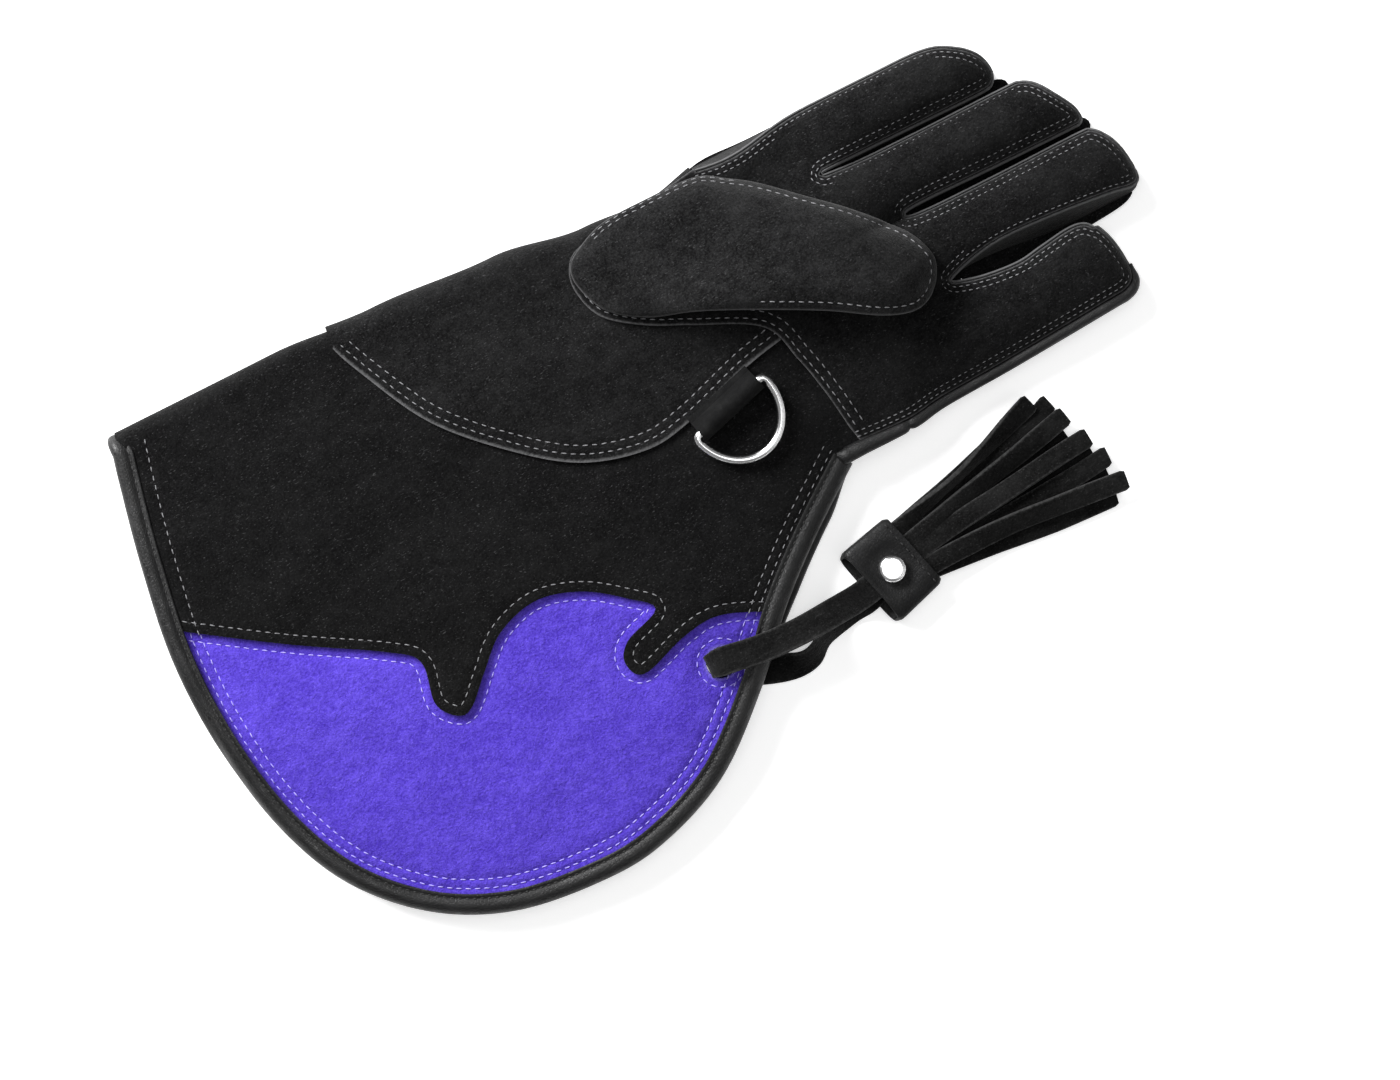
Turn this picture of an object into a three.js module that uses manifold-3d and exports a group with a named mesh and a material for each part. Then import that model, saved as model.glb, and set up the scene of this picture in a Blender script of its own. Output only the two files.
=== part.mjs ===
// Falconry gauntlet for the left hand, lying palm up with its D-ring and its tassel.
// Millimetres. +X runs along the fingers, +Y towards the thumb side, +Z up.
// Outlines are tables of shares: along and across the cuff, or along and across the hand.
import * as THREE from 'three';
import { mergeVertices } from 'three/addons/utils/BufferGeometryUtils.js';
import Module from 'manifold-3d';

const wasm = await Module();
wasm.setup();

// Driving sizes
const CUFF_LENGTH = 224; // mouth to wrist seam
const CUFF_DEPTH = 214; // fold to the lowest point of the flare
const HAND_LENGTH = 138; // wrist seam to the tip of the ring finger
const HAND_WIDTH = 111; // outer side of the index finger to the little finger's seam
const LEATHER = 1.5; // wall of every leather piece
const GAP = 0.3; // between pieces that touch
const FOLD_RADIUS = 6; // bend of the cuff at the thumb side
const CUFF_RISE = 21; // crown of the cuff near the wrist
const PALM_RISE = 23; // crown of the palm
const FINGER_RISE = 18; // crown of a finger
const FINGER_SIDE = 12; // seam at a finger's side
const SEAM_RISE = 7.5; // seam of the little finger and of the finger tips
const THUMB_RISE = 14; // thickness of the thumb
const BINDING_WIDTH = 7.6; // smooth binding, seen from above
const BINDING_SKIN = 1; // its leather over and under the panels
const PANEL_BACKSET = 2; // edge of the panels inside the binding
const PIPING_RADIUS = 1.9;
const HOLE_DIAMETER = 11; // for the tassel strap
const STRAP_WIDTH = 10;
const RING_WIRE = 3;
const RING_INSIDE = 28.6; // clear width of the D-ring
const RING_DEPTH = 20;
const KEEPER_PLAY = 0.8; // between each end of the keeper and the ring's arms
const BAR_CLEARANCE = 0.5; // round the ring's bar in the keeper
const SLEEVE = { length: 21, width: 30, height: 9 };
const SNAP = { cap: 10, dome: 2, post: 3, under: 1 };
const FRINGE = { length: 78, strip: 7, layers: 2, strips: 6 };

// Heights of the stacked layers, each at the middle of its leather
const LAYER = LEATHER + GAP;
const BACK_OUTER = LEATHER / 2;
const BACK_BLACK = BACK_OUTER + LAYER;
const BINDING_HEIGHT = 2 * LEATHER + 3 * GAP + 2 * BINDING_SKIN;
const BACK_PAIR = BINDING_HEIGHT / 2;
const PALM_PAIR = BACK_PAIR + BINDING_HEIGHT + GAP;
const PAIR_HALF = LAYER / 2;
const FOLD_TOP = BACK_BLACK + 2 * FOLD_RADIUS;
const WRIST = 0.991 * CUFF_LENGTH;
const INDEX_SIDE = -0.028 * CUFF_DEPTH;
const FAR = 60;

// Small helpers
const clamp = (value) => Math.min(1, Math.max(0, value));
const ease = (value) => clamp(value) ** 2 * (3 - 2 * clamp(value));
const dome = (value) => Math.sqrt(1 - (1 - clamp(value)) ** 2);
const mix = (a, b, share) => a + (b - a) * share;
const rows = (columns, values) => values.map((row) =>
  Object.fromEntries(columns.map((column, i) => [column, row[i]])));
const onCuff = (row) => new THREE.Vector2(row.along * CUFF_LENGTH, -row.across * CUFF_DEPTH);
const onHand = (row) => new THREE.Vector2(
  WRIST + row.along * HAND_LENGTH, INDEX_SIDE - row.across * HAND_WIDTH);

function readTable(table, column, along) {
  const last = table[table.length - 1];
  if (along <= table[0].along) return table[0][column];
  if (along >= last.along) return last[column];
  const next = table.findIndex((row) => row.along > along);
  const [a, b] = [table[next - 1], table[next]];
  return mix(a[column], b[column], ease((along - a.along) / (b.along - a.along)));
}

const smooth = (points, count) => new THREE.SplineCurve(points).getPoints(count);

// Each point moved square to its curve, to the left of its run for a positive distance
function offset(points, distance) {
  return points.map((point, i) => {
    const before = points[Math.max(0, i - 1)];
    const after = points[Math.min(points.length - 1, i + 1)];
    const run = after.clone().sub(before).normalize();
    return new THREE.Vector2(point.x - run.y * distance, point.y + run.x * distance);
  });
}

// Closed meshes to solids and back
function solidOf(geometry) {
  geometry.deleteAttribute('normal');
  geometry.deleteAttribute('uv');
  const merged = mergeVertices(geometry, 1e-4);
  return new wasm.Manifold(new wasm.Mesh({
    numProp: 3,
    vertProperties: Float32Array.from(merged.attributes.position.array),
    triVerts: Uint32Array.from(merged.index.array),
  }));
}

function geometryOf(solid) {
  const mesh = solid.getMesh();
  const geometry = new THREE.BufferGeometry();
  geometry.setAttribute('position', new THREE.BufferAttribute(Float32Array.from(mesh.vertProperties), 3));
  geometry.setIndex(Array.from(mesh.triVerts));
  geometry.computeVertexNormals();
  return geometry;
}

// A flat outline stood up through all heights, to cut sheets with
function region(points, low = -FAR, high = 2 * FAR) {
  const geometry = new THREE.ExtrudeGeometry(new THREE.Shape(points), {
    depth: high - low, bevelEnabled: false, curveSegments: 1,
  });
  geometry.translate(0, 0, low);
  return solidOf(geometry);
}

// A closed skin over a grid of points: grid[i][j] on the upper side, under[i][j] on the lower side
function slabOf(upper, lower) {
  const [countX, countY] = [upper.length, upper[0].length];
  const points = [];
  const faces = [];
  for (const side of [upper, lower]) side.forEach((line) => line.forEach((p) => points.push(...p)));
  const at = (side, i, j) => side * countX * countY + i * countY + j;
  for (let i = 0; i < countX - 1; i += 1) {
    for (let j = 0; j < countY - 1; j += 1) {
      const [a, b, c, d] = [at(0, i, j), at(0, i + 1, j), at(0, i + 1, j + 1), at(0, i, j + 1)];
      faces.push(a, b, c, a, c, d);
      const [e, f, g, h] = [at(1, i, j), at(1, i + 1, j), at(1, i + 1, j + 1), at(1, i, j + 1)];
      faces.push(e, g, f, e, h, g);
    }
  }
  const wall = (i, j, m, n) => faces.push(
    at(0, i, j), at(1, i, j), at(1, m, n), at(0, i, j), at(1, m, n), at(0, m, n));
  for (let i = 0; i < countX - 1; i += 1) {
    wall(i, 0, i + 1, 0);
    wall(i + 1, countY - 1, i, countY - 1);
  }
  for (let j = 0; j < countY - 1; j += 1) {
    wall(countX - 1, j, countX - 1, j + 1);
    wall(0, j + 1, 0, j);
  }
  const geometry = new THREE.BufferGeometry();
  geometry.setAttribute('position', new THREE.Float32BufferAttribute(points, 3));
  geometry.setIndex(faces);
  return solidOf(geometry);
}

// A sheet between two heights over the lines of a grid
function between(grid, low, high) {
  const layer = (height) => grid.x.map((x) => grid.y(x).map((y) => [x, y, height(x, y)]));
  return slabOf(layer(high), layer(low));
}

const sheet = (grid, middle, thickness) => between(
  grid, (x, y) => middle(x, y) - thickness / 2, (x, y) => middle(x, y) + thickness / 2);

const lines = (from, to, count) => Array.from({ length: count + 1 }, (_, i) => mix(from, to, i / count));

// A closed bar through cross-sections, each a ring of points
function loft(sections, closed = false) {
  const ring = sections[0].length;
  const points = sections.flat().flatMap((p) => [p.x, p.y, p.z]);
  const faces = [];
  const last = closed ? sections.length : sections.length - 1;
  for (let i = 0; i < last; i += 1) {
    const next = (i + 1) % sections.length;
    for (let j = 0; j < ring; j += 1) {
      const k = (j + 1) % ring;
      faces.push(i * ring + j, i * ring + k, next * ring + k, i * ring + j, next * ring + k, next * ring + j);
    }
  }
  if (!closed) {
    const end = (sections.length - 1) * ring;
    for (let j = 1; j < ring - 1; j += 1) faces.push(0, j + 1, j, end, end + j, end + j + 1);
  }
  const geometry = new THREE.BufferGeometry();
  geometry.setAttribute('position', new THREE.Float32BufferAttribute(points, 3));
  geometry.setIndex(faces);
  return solidOf(geometry);
}

// A round bar along a path of 3-D points, its sections square to the path
function roundBar(path, radius, sides, closed = false) {
  const up = new THREE.Vector3(0, 0, 1);
  return loft(path.map((point, i) => {
    const count = path.length;
    const before = closed ? path[(i + count - 1) % count] : path[Math.max(0, i - 1)];
    const after = closed ? path[(i + 1) % count] : path[Math.min(count - 1, i + 1)];
    const run = after.clone().sub(before).normalize();
    const side = new THREE.Vector3().crossVectors(run, up).normalize();
    const top = new THREE.Vector3().crossVectors(side, run);
    return Array.from({ length: sides }, (_, j) => {
      const turn = ((j + 0.5) / sides) * 2 * Math.PI;
      return point.clone().addScaledVector(side, radius * Math.cos(turn))
        .addScaledVector(top, -radius * Math.sin(turn));
    });
  }), closed);
}

// A flat strip of leather along a path, its width level and square to each row's heading
function ribbon(path, width, thickness) {
  return loft(path.map((row, i) => {
    const before = path[Math.max(0, i - 1)].point;
    const after = path[Math.min(path.length - 1, i + 1)].point;
    const run = after.clone().sub(before).normalize();
    const side = new THREE.Vector3(-Math.sin(row.heading), Math.cos(row.heading), 0);
    const top = new THREE.Vector3().crossVectors(run, side).normalize();
    return [[-1, -1], [1, -1], [1, 1], [-1, 1]].map(([s, t]) => row.point.clone()
      .addScaledVector(side, (s * width) / 2).addScaledVector(top, (t * thickness) / 2));
  }));
}

// The fold at the thumb side, the outer face of the black cuff
const FOLD = rows(['along', 'across'], [
  [-0.1, -0.01], [0.28, -0.008], [0.45, 0.007], [0.65, 0.022], [0.8, 0.047], [0.9, 0.055], [1.02, 0.033],
]);
const foldFace = (x) => -readTable(FOLD, 'across', x / CUFF_LENGTH) * CUFF_DEPTH;
const foldCentre = (x) => foldFace(x) - FOLD_RADIUS - LEATHER / 2;

// The outer edge of the binding, from the fold round the mouth and the flare to the notch at the wrist,
// where it meets the hand's outer side
const FLARE = rows(['along', 'across'], [
  [0, -0.02], [-0.022, 0.07], [-0.05, 0.21], [-0.073, 0.37], [-0.072, 0.53], [-0.045, 0.687], [0.012, 0.818],
  [0.107, 0.92], [0.225, 0.98], [0.36, 1], [0.47, 0.992], [0.6, 0.94], [0.72, 0.838], [0.81, 0.74],
  [0.9, 0.66],
]);
const NOTCH = onHand({ along: 0.022, across: 1.064 });
const flareEdge = smooth([...FLARE.map(onCuff), NOTCH], 32);

// How low the cuff reaches at a station
function cuffLow(x) {
  let low = NOTCH.y;
  for (let i = 0; i < flareEdge.length - 1; i += 1) {
    const [a, b] = [flareEdge[i], flareEdge[i + 1]];
    const crosses = (a.x - x) * (b.x - x) <= 0 && a.x !== b.x;
    if (crosses) low = Math.min(low, mix(a.y, b.y, (x - a.x) / (b.x - a.x)));
  }
  return low;
}

// The purple flame, cut out of the black suede
const FLAME = rows(['along', 'across'], [
  [-0.12, 0.27], [0.09, 0.42], [0.23, 0.51], [0.27, 0.55], [0.26, 0.62], [0.285, 0.655], [0.31, 0.65],
  [0.35, 0.61], [0.4, 0.565], [0.47, 0.545], [0.54, 0.565], [0.6, 0.61], [0.63, 0.645], [0.57, 0.67],
  [0.55, 0.7], [0.57, 0.73], [0.65, 0.705], [0.71, 0.7], [0.78, 0.73], [0.86, 0.78],
]);
const FLAME_BELOW = rows(['along', 'across'], [[0.86, 1.1], [-0.12, 1.1]]);
// The hidden upper edge of the purple panel, under the black suede
const FLAME_PANEL = rows(['along', 'across'], [
  [-0.12, 0.2], [0.25, 0.455], [0.45, 0.49], [0.66, 0.59], [0.9, 0.68], [0.9, 1.1], [-0.12, 1.1],
]);

// Tables of heights along the cuff, as shares of its rise
const CUFF_CROWN = rows(['along', 'rise'], [[-0.08, 0.76], [0.3, 0.78], [0.7, 0.9], [1, 1]]);

// Where the strap passes under the flare, both sides are lifted by its thickness
const HOLE = onCuff({ along: 0.683, across: 0.771 });
const STRAP_PASS = onCuff({ along: 0.74, across: 0.8 });
const PASS_REACH = { flat: 0.12 * CUFF_DEPTH, end: 0.23 * CUFF_DEPTH };
const strapLift = (x, y) => (LEATHER + 2 * GAP) * ease(
  (PASS_REACH.end - Math.hypot(x - STRAP_PASS.x, y - STRAP_PASS.y)) / (PASS_REACH.end - PASS_REACH.flat));

// Middle of the black suede on the palm side of the cuff
const FOLD_BLEND = 0.16; // share of the depth over which the fold's height runs into the crown
const EDGE_BLEND = 0.55;
function cuffZ(x, y) {
  const span = foldCentre(x) - cuffLow(x);
  const fromFold = (foldCentre(x) - BEND_TAIL - y) / CUFF_DEPTH;
  const fromEdge = clamp((y - cuffLow(x)) / span / EDGE_BLEND);
  const crown = CUFF_RISE * readTable(CUFF_CROWN, 'rise', x / CUFF_LENGTH);
  const edge = PALM_PAIR + PAIR_HALF;
  const arch = mix(edge, crown, 1 - (1 - fromEdge) ** 2);
  return mix(FOLD_TOP, arch, ease(fromFold / FOLD_BLEND)) + strapLift(x, y);
}
const backZ = (x, y) => BACK_BLACK + strapLift(x, y);

// The hand's outline, from the index side round the finger tips to the little finger's seam
const HAND = rows(['along', 'across'], [
  [-0.29, 0.03], [-0.1, 0.01], [0, 0], [0.17, 0], [0.5, 0.003], [0.65, 0.01], [0.725, 0.052], [0.772, 0.105],
  [0.79, 0.158], [0.772, 0.203], [0.73, 0.217], [0.56, 0.215], [0.39, 0.213], [0.29, 0.216], [0.29, 0.222],
  [0.39, 0.227], [0.56, 0.23], [0.79, 0.23], [0.83, 0.235], [0.862, 0.262], [0.896, 0.322], [0.928, 0.378],
  [0.938, 0.415], [0.926, 0.438], [0.89, 0.444], [0.68, 0.442], [0.5, 0.437], [0.43, 0.44], [0.43, 0.452],
  [0.5, 0.46], [0.68, 0.462], [0.9, 0.461], [0.938, 0.47], [0.968, 0.512], [0.987, 0.565], [1, 0.64],
  [0.993, 0.675], [0.965, 0.69], [0.9, 0.678], [0.75, 0.66], [0.62, 0.652], [0.53, 0.664], [0.46, 0.689],
  [0.46, 0.7], [0.53, 0.724], [0.62, 0.735], [0.69, 0.724], [0.77, 0.712], [0.815, 0.722], [0.84, 0.762],
  [0.858, 0.82], [0.87, 0.9], [0.86, 0.945], [0.83, 0.965], [0.78, 0.97], [0.5, 0.992], [0.3, 1.003],
  [0.2, 1.018], [0.065, 1.01], [0, 1.01],
]);
const handEdge = HAND.map(onHand);

// The fingers: from and to across the hand, and the tip along it
const FINGERS = rows(['from', 'to', 'tip', 'low'], [
  [0, 0.218, 0.79, 1], [0.226, 0.448, 0.938, 1], [0.456, 0.694, 1, 1], [0.7, 1.02, 0.875, 0],
]);
const KNUCKLES = { start: 0.2, end: 0.42 }; // where the palm parts into fingers, along the hand
const OFF_CUFF = { start: 0.16, end: 0.38 }; // where the palm panel leaves the cuff's height
const SLIT = 0.004; // half of the space between two fingers
const TIP_FALL = 16; // from the full height down to the seam at a tip
const PALM_SHOULDER = { index: 0.4, little: 0.6 }; // from a side to the palm's full height
const PATCH_LAP = { start: 0.44, run: 0.06 }; // across the cuff, where the palm panel climbs the patch

const LITTLE_SEAM = 1.01; // the hand's outer seam, across the hand

// Middle of the palm panel, over the cuff at the wrist and over the hand beyond it
function palmZ(x, y) {
  const along = (x - WRIST) / HAND_LENGTH;
  const across = (INDEX_SIDE - y) / HAND_WIDTH;
  const finger = FINGERS.find((row) => across <= row.to + SLIT) ?? FINGERS[FINGERS.length - 1];
  const within = clamp((across - finger.from) / (finger.to - finger.from));
  const side = mix(FINGER_SIDE, finger.low ? FINGER_SIDE : SEAM_RISE, within);
  const onFinger = side + (FINGER_RISE - FINGER_SIDE) * 4 * within * (1 - within);
  const indexRise = mix(FOLD_TOP, PALM_RISE, 1 - (1 - clamp(across / PALM_SHOULDER.index)) ** 2);
  const fromLittle = clamp((LITTLE_SEAM - across) / PALM_SHOULDER.little);
  const littleRise = mix(SEAM_RISE, PALM_RISE, 1 - (1 - fromLittle) ** 2);
  const onPalm = Math.min(indexRise, littleRise);
  const body = mix(onPalm, onFinger, ease((along - KNUCKLES.start) / (KNUCKLES.end - KNUCKLES.start)));
  const toTip = (finger.tip * HAND_LENGTH + WRIST - x) / TIP_FALL;
  const low = BACK_BLACK + LEATHER + 4 * GAP;
  const overReinforcement = clamp((y / CUFF_DEPTH + PATCH_LAP.start) / PATCH_LAP.run);
  const onWrist = cuffZ(x, y) + LAYER * (1 + overReinforcement) + GAP;
  const hand = mix(low, Math.max(low, body), dome(toTip));
  return mix(onWrist, hand, ease((along - OFF_CUFF.start) / (OFF_CUFF.end - OFF_CUFF.start)));
}

// Grids that the sheets are drawn on
const BEND_TAIL = 8; // flat run of the leather on both sides of the bend
const cuffGrid = {
  x: lines(-0.09 * CUFF_LENGTH, 1.06 * CUFF_LENGTH, 15),
  y: (x) => [
    ...lines(cuffLow(x) - BEND_TAIL, foldCentre(x) - BEND_TAIL, 9), foldCentre(x), foldCentre(x) + 1,
  ],
};
const fingerLines = FINGERS.flatMap((row) => [0, 0.5, 1].map(
  (share) => INDEX_SIDE - mix(row.from, row.to, share) * HAND_WIDTH)).reverse();
const handGrid = {
  x: lines(WRIST - 0.42 * HAND_LENGTH, WRIST + 1.02 * HAND_LENGTH, 16),
  y: () => [INDEX_SIDE - 1.1 * HAND_WIDTH, ...fingerLines, INDEX_SIDE + 0.1 * HAND_WIDTH],
};

// Regions of the cuff
const panelEdge = offset(flareEdge, PANEL_BACKSET);
const notch = panelEdge[panelEdge.length - 1];
const foldLine = lines(1.01, -0.1, 12).map((along) =>
  new THREE.Vector2(along * CUFF_LENGTH, foldCentre(along * CUFF_LENGTH) + GAP));
const CUFF_PALM_END = rows(['along', 'across'], [
  [1.04, 0.31], [0.99, 0.29], [0.89, 0.235], [0.82, 0.19], [0.795, 0.155], [0.795, 0.12],
  [0.86, 0.107], [1.01, 0.085],
]);
const cuffInside = (points) => region([
  ...panelEdge.filter((point) => point.y < foldCentre(point.x)),
  ...points, ...foldLine.filter((point) => point.x > panelEdge[0].x),
]);
const palmEnd = [
  new THREE.Vector2(notch.x, onHand({ along: 0, across: 0.987 }).y),
  onHand({ along: 0.06, across: 0.89 }), ...CUFF_PALM_END.map(onCuff),
];
const BACK_END = 0.975 * CUFF_LENGTH;
const cuffPalm = cuffInside(palmEnd);
const cuffBack = cuffInside([]).intersect(region([
  [-FAR, FAR], [-FAR, -CUFF_DEPTH - FAR], [BACK_END, -CUFF_DEPTH - FAR], [BACK_END, FAR],
].map(([x, y]) => new THREE.Vector2(x, y))));
const flame = region([...smooth(FLAME.map(onCuff), 38), ...FLAME_BELOW.map(onCuff)]);
const flamePanel = region(FLAME_PANEL.map(onCuff));
const holePlug = region(new THREE.EllipseCurve(
  HOLE.x, HOLE.y, HOLE_DIAMETER / 2, HOLE_DIAMETER / 2).getPoints(16).slice(0, 16));

// The bend at the thumb side, from the back round to the palm, a layer's distance out from the cuff
const BEND_STEPS = 5;
function bend(out, from, to) {
  const inner = cuffGrid.x.filter((x) => x > from + BEND_TAIL && x < to - BEND_TAIL);
  const shell = (distance) => [from, ...inner, to].map((x) => {
    const [y, low] = [foldCentre(x), BACK_BLACK];
    const radius = FOLD_RADIUS + distance;
    const arc = lines(-0.5 * Math.PI, 0.5 * Math.PI, BEND_STEPS).map((turn) =>
      [x, y + radius * Math.cos(turn), low + FOLD_RADIUS + radius * Math.sin(turn)]);
    const tail = y - BEND_TAIL;
    return [[x, tail, low - distance], ...arc, [x, tail, cuffZ(x, tail) + distance]];
  });
  const turned = (grid) => grid.map((line) => [...line].reverse());
  return slabOf(turned(shell(out + LEATHER / 2)), turned(shell(out - LEATHER / 2)));
}

// The cuff's black suede, palm side and back side in one piece
function makeCuffPanel() {
  const palm = sheet(cuffGrid, cuffZ, LEATHER).intersect(cuffPalm).subtract(flame);
  const back = sheet(cuffGrid, backZ, LEATHER).intersect(cuffBack).subtract(flame);
  return palm.add(back).add(bend(0, flareEdge[0].x + PANEL_BACKSET, BACK_END));
}

const makeFlamePalm = () => sheet(cuffGrid, (x, y) => cuffZ(x, y) - LAYER, LEATHER)
  .intersect(cuffPalm).intersect(flamePanel).subtract(holePlug);
const makeFlameBack = () => sheet(cuffGrid, (x, y) => backZ(x, y) + LAYER, LEATHER)
  .intersect(cuffBack).intersect(flamePanel).subtract(holePlug);

// A binding over both edges: a band along the flare with a slot for the panels
function makeBinding(middle, blackZ, purpleZ, panel) {
  const inner = offset(flareEdge, BINDING_WIDTH);
  const trim = region([[-FAR, -1.1 * CUFF_DEPTH], [2 * CUFF_LENGTH, -1.1 * CUFF_DEPTH],
    [2 * CUFF_LENGTH, foldCentre(0)], [-FAR, foldCentre(0)]].map(([x, y]) => new THREE.Vector2(x, y)));
  const slot = (height) => sheet(cuffGrid, height, LEATHER + 2 * GAP);
  const wide = region([...offset(flareEdge, PANEL_BACKSET - GAP), ...panel]);
  return sheet(cuffGrid, middle, BINDING_HEIGHT)
    .intersect(region([...flareEdge, ...inner.reverse()])).intersect(trim)
    .subtract(slot(blackZ).add(slot(purpleZ)).intersect(wide));
}
const beyond = [new THREE.Vector2(notch.x + FAR, notch.y + FAR), new THREE.Vector2(notch.x + FAR, FAR)];
const makeBindingPalm = () => makeBinding((x, y) => cuffZ(x, y) - PAIR_HALF, cuffZ,
  (x, y) => cuffZ(x, y) - LAYER, beyond);
const makeBindingBack = () => makeBinding((x, y) => BACK_PAIR + strapLift(x, y), backZ,
  (x, y) => backZ(x, y) + LAYER, beyond);

// The second layer: a curved patch on the palm, round the thumb side, and the back of the hand
const PATCH_PALM = rows(['along', 'across'], [
  [0.36, -0.05], [0.365, 0.02], [0.39, 0.09], [0.45, 0.21], [0.54, 0.31], [0.63, 0.38], [0.73, 0.41],
  [0.81, 0.4], [0.92, 0.365], [0.99, 0.35],
]);
const PATCH_PALM_END = rows(['along', 'across'], [
  [0.99, 0.29], [0.89, 0.235], [0.82, 0.19], [0.795, 0.155], [0.795, 0.12], [0.86, 0.107], [1.01, 0.085],
]);
const PATCH_BACK = rows(['along', 'across'], [
  [0.36, -0.05], [0.37, 0.15], [0.4, 0.34], [0.47, 0.5], [0.58, 0.6], [0.72, 0.63], [0.84, 0.58],
  [0.94, 0.49], [1.03, 0.45], [1.15, 0.45], [1.24, 0.43], [1.29, 0.39],
]);
const patchEdge = smooth(PATCH_PALM.map(onCuff), 24);
const CROTCH = INDEX_SIDE - 0.694 * HAND_WIDTH; // between ring and little finger
const handBack = region(handEdge);
function makeReinforcement() {
  const end = WRIST - GAP;
  const from = patchEdge[0].x + LEATHER;
  const palm = sheet(cuffGrid, (x, y) => cuffZ(x, y) + LAYER, LEATHER)
    .intersect(cuffInside(palmEnd)).intersect(region([...patchEdge, ...PATCH_PALM_END.map(onCuff),
      new THREE.Vector2(end, FAR)]));
  const flat = region([
    ...smooth(PATCH_BACK.map(onCuff), 28), new THREE.Vector2(2 * WRIST, CROTCH),
    new THREE.Vector2(2 * WRIST, FAR), new THREE.Vector2(from, FAR),
  ], 0, LEATHER);
  const cuffFlat = region([
    ...foldLine, new THREE.Vector2(0, -CUFF_DEPTH), new THREE.Vector2(end, -CUFF_DEPTH),
  ]);
  return palm.add(flat.intersect(handBack.add(cuffFlat))).add(bend(LAYER, from, end));
}

// The back of the little finger and of the hand's outer side, over the edge of the second layer
const LITTLE_BACK = rows(['along', 'across'], [
  [-0.023, 0.775], [0.08, 0.727], [0.242, 0.717], [0.436, 0.698], [0.477, 0.705],
]);
function makeLittleBack() {
  const outline = region([
    new THREE.Vector2(BACK_END + GAP, LITTLE_BACK.map(onHand)[0].y), ...LITTLE_BACK.slice(1).map(onHand),
    new THREE.Vector2(2 * WRIST, CROTCH - GAP), new THREE.Vector2(2 * WRIST, -CUFF_DEPTH),
    new THREE.Vector2(BACK_END + GAP, -CUFF_DEPTH),
  ], BACK_BLACK - LEATHER / 2, BACK_BLACK + LEATHER / 2);
  return outline.intersect(handBack);
}

// The thumb's base opens into the palm through this oval
const THUMB_MOUTH = {
  at: onHand({ along: -0.1, across: 0.31 }), long: 0.2 * HAND_WIDTH, short: 0.115 * HAND_WIDTH, turn: -0.6,
};
const thumbMouth = () => region(new THREE.EllipseCurve(
  THUMB_MOUTH.at.x, THUMB_MOUTH.at.y, THUMB_MOUTH.long, THUMB_MOUTH.short,
  0, 2 * Math.PI, false, THUMB_MOUTH.turn).getPoints(18).slice(0, 18));

// The palm panel: lapped over the cuff at the wrist seam and over the patch round the thumb's base
const PALM_START = rows(['along', 'across'], [
  [0.054, 0.955], [0.039, 0.832], [0.014, 0.698], [-0.026, 0.563], [-0.18, 0.457], [-0.286, 0.39],
  [-0.375, 0.303], [-0.404, 0.197], [-0.391, 0.12], [-0.343, 0.077], [-0.213, 0.061],
]);
function makePalmPanel() {
  const inside = [
    ...handEdge.slice(2, -1), ...PALM_START.map(onHand), new THREE.Vector2(WRIST, INDEX_SIDE - LEATHER),
  ];
  return sheet(handGrid, palmZ, LEATHER).intersect(region(inside)).subtract(thumbMouth());
}

// The strips between palm and back at the fingers' sides
function sideStrip(first, last) {
  const path = handEdge.slice(first, last + 1);
  const outer = offset(path, -GAP);
  const inner = offset(path, -GAP - LEATHER);
  const floor = (x, y) => (y < CROTCH ? BACK_BLACK + LEATHER / 2 : LEATHER) + GAP;
  const roof = (x, y) => Math.max(palmZ(x, y) - LEATHER / 2 - GAP, floor(x, y) + GAP);
  return between(handGrid, floor, roof).intersect(region([...outer, ...inner.reverse()]));
}
const SIDE_RUNS = rows(['name', 'first', 'last'], [
  ['index_side', 2, 7], ['fourchette_index_middle', 9, 20], ['fourchette_middle_ring', 23, 33],
  ['fourchette_ring_little', 37, 50],
]);

// The thumb: a hollow form over the palm, open at its base
const THUMB = rows(['along', 'across'], [
  [-0.394, 0.187], [-0.386, 0.12], [-0.335, 0.077], [-0.262, 0.046], [-0.148, 0.042], [-0.01, 0.05],
  [0.063, 0.1], [0.128, 0.158], [0.225, 0.274], [0.307, 0.37], [0.396, 0.486], [0.432, 0.592], [0.42, 0.659],
  [0.38, 0.712], [0.323, 0.731], [0.242, 0.698], [0.128, 0.611], [-0.018, 0.516], [-0.164, 0.428],
  [-0.278, 0.37], [-0.359, 0.293],
]);
const thumbEdge = THUMB.map(onHand);
const thumbGrid = {
  x: handGrid.x.filter((x) => x < WRIST + 0.54 * HAND_LENGTH),
  y: () => handGrid.y().filter((y) => y > INDEX_SIDE - 0.87 * HAND_WIDTH),
};
const THUMB_ROUND = 12; // from the edge to the full height
function thumbTop(x, y) {
  let near = Infinity;
  thumbEdge.forEach((a, i) => {
    const b = thumbEdge[(i + 1) % thumbEdge.length];
    const run = b.clone().sub(a);
    const share = clamp(new THREE.Vector2(x - a.x, y - a.y).dot(run) / run.lengthSq());
    near = Math.min(near, Math.hypot(x - a.x - run.x * share, y - a.y - run.y * share));
  });
  const fromBase = ease((x - thumbEdge[0].x) / (0.4 * HAND_LENGTH));
  return (THUMB_RISE - 2 * LEATHER) * dome(near / THUMB_ROUND) * mix(0.35, 1, fromBase) + 2 * LEATHER;
}
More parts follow.
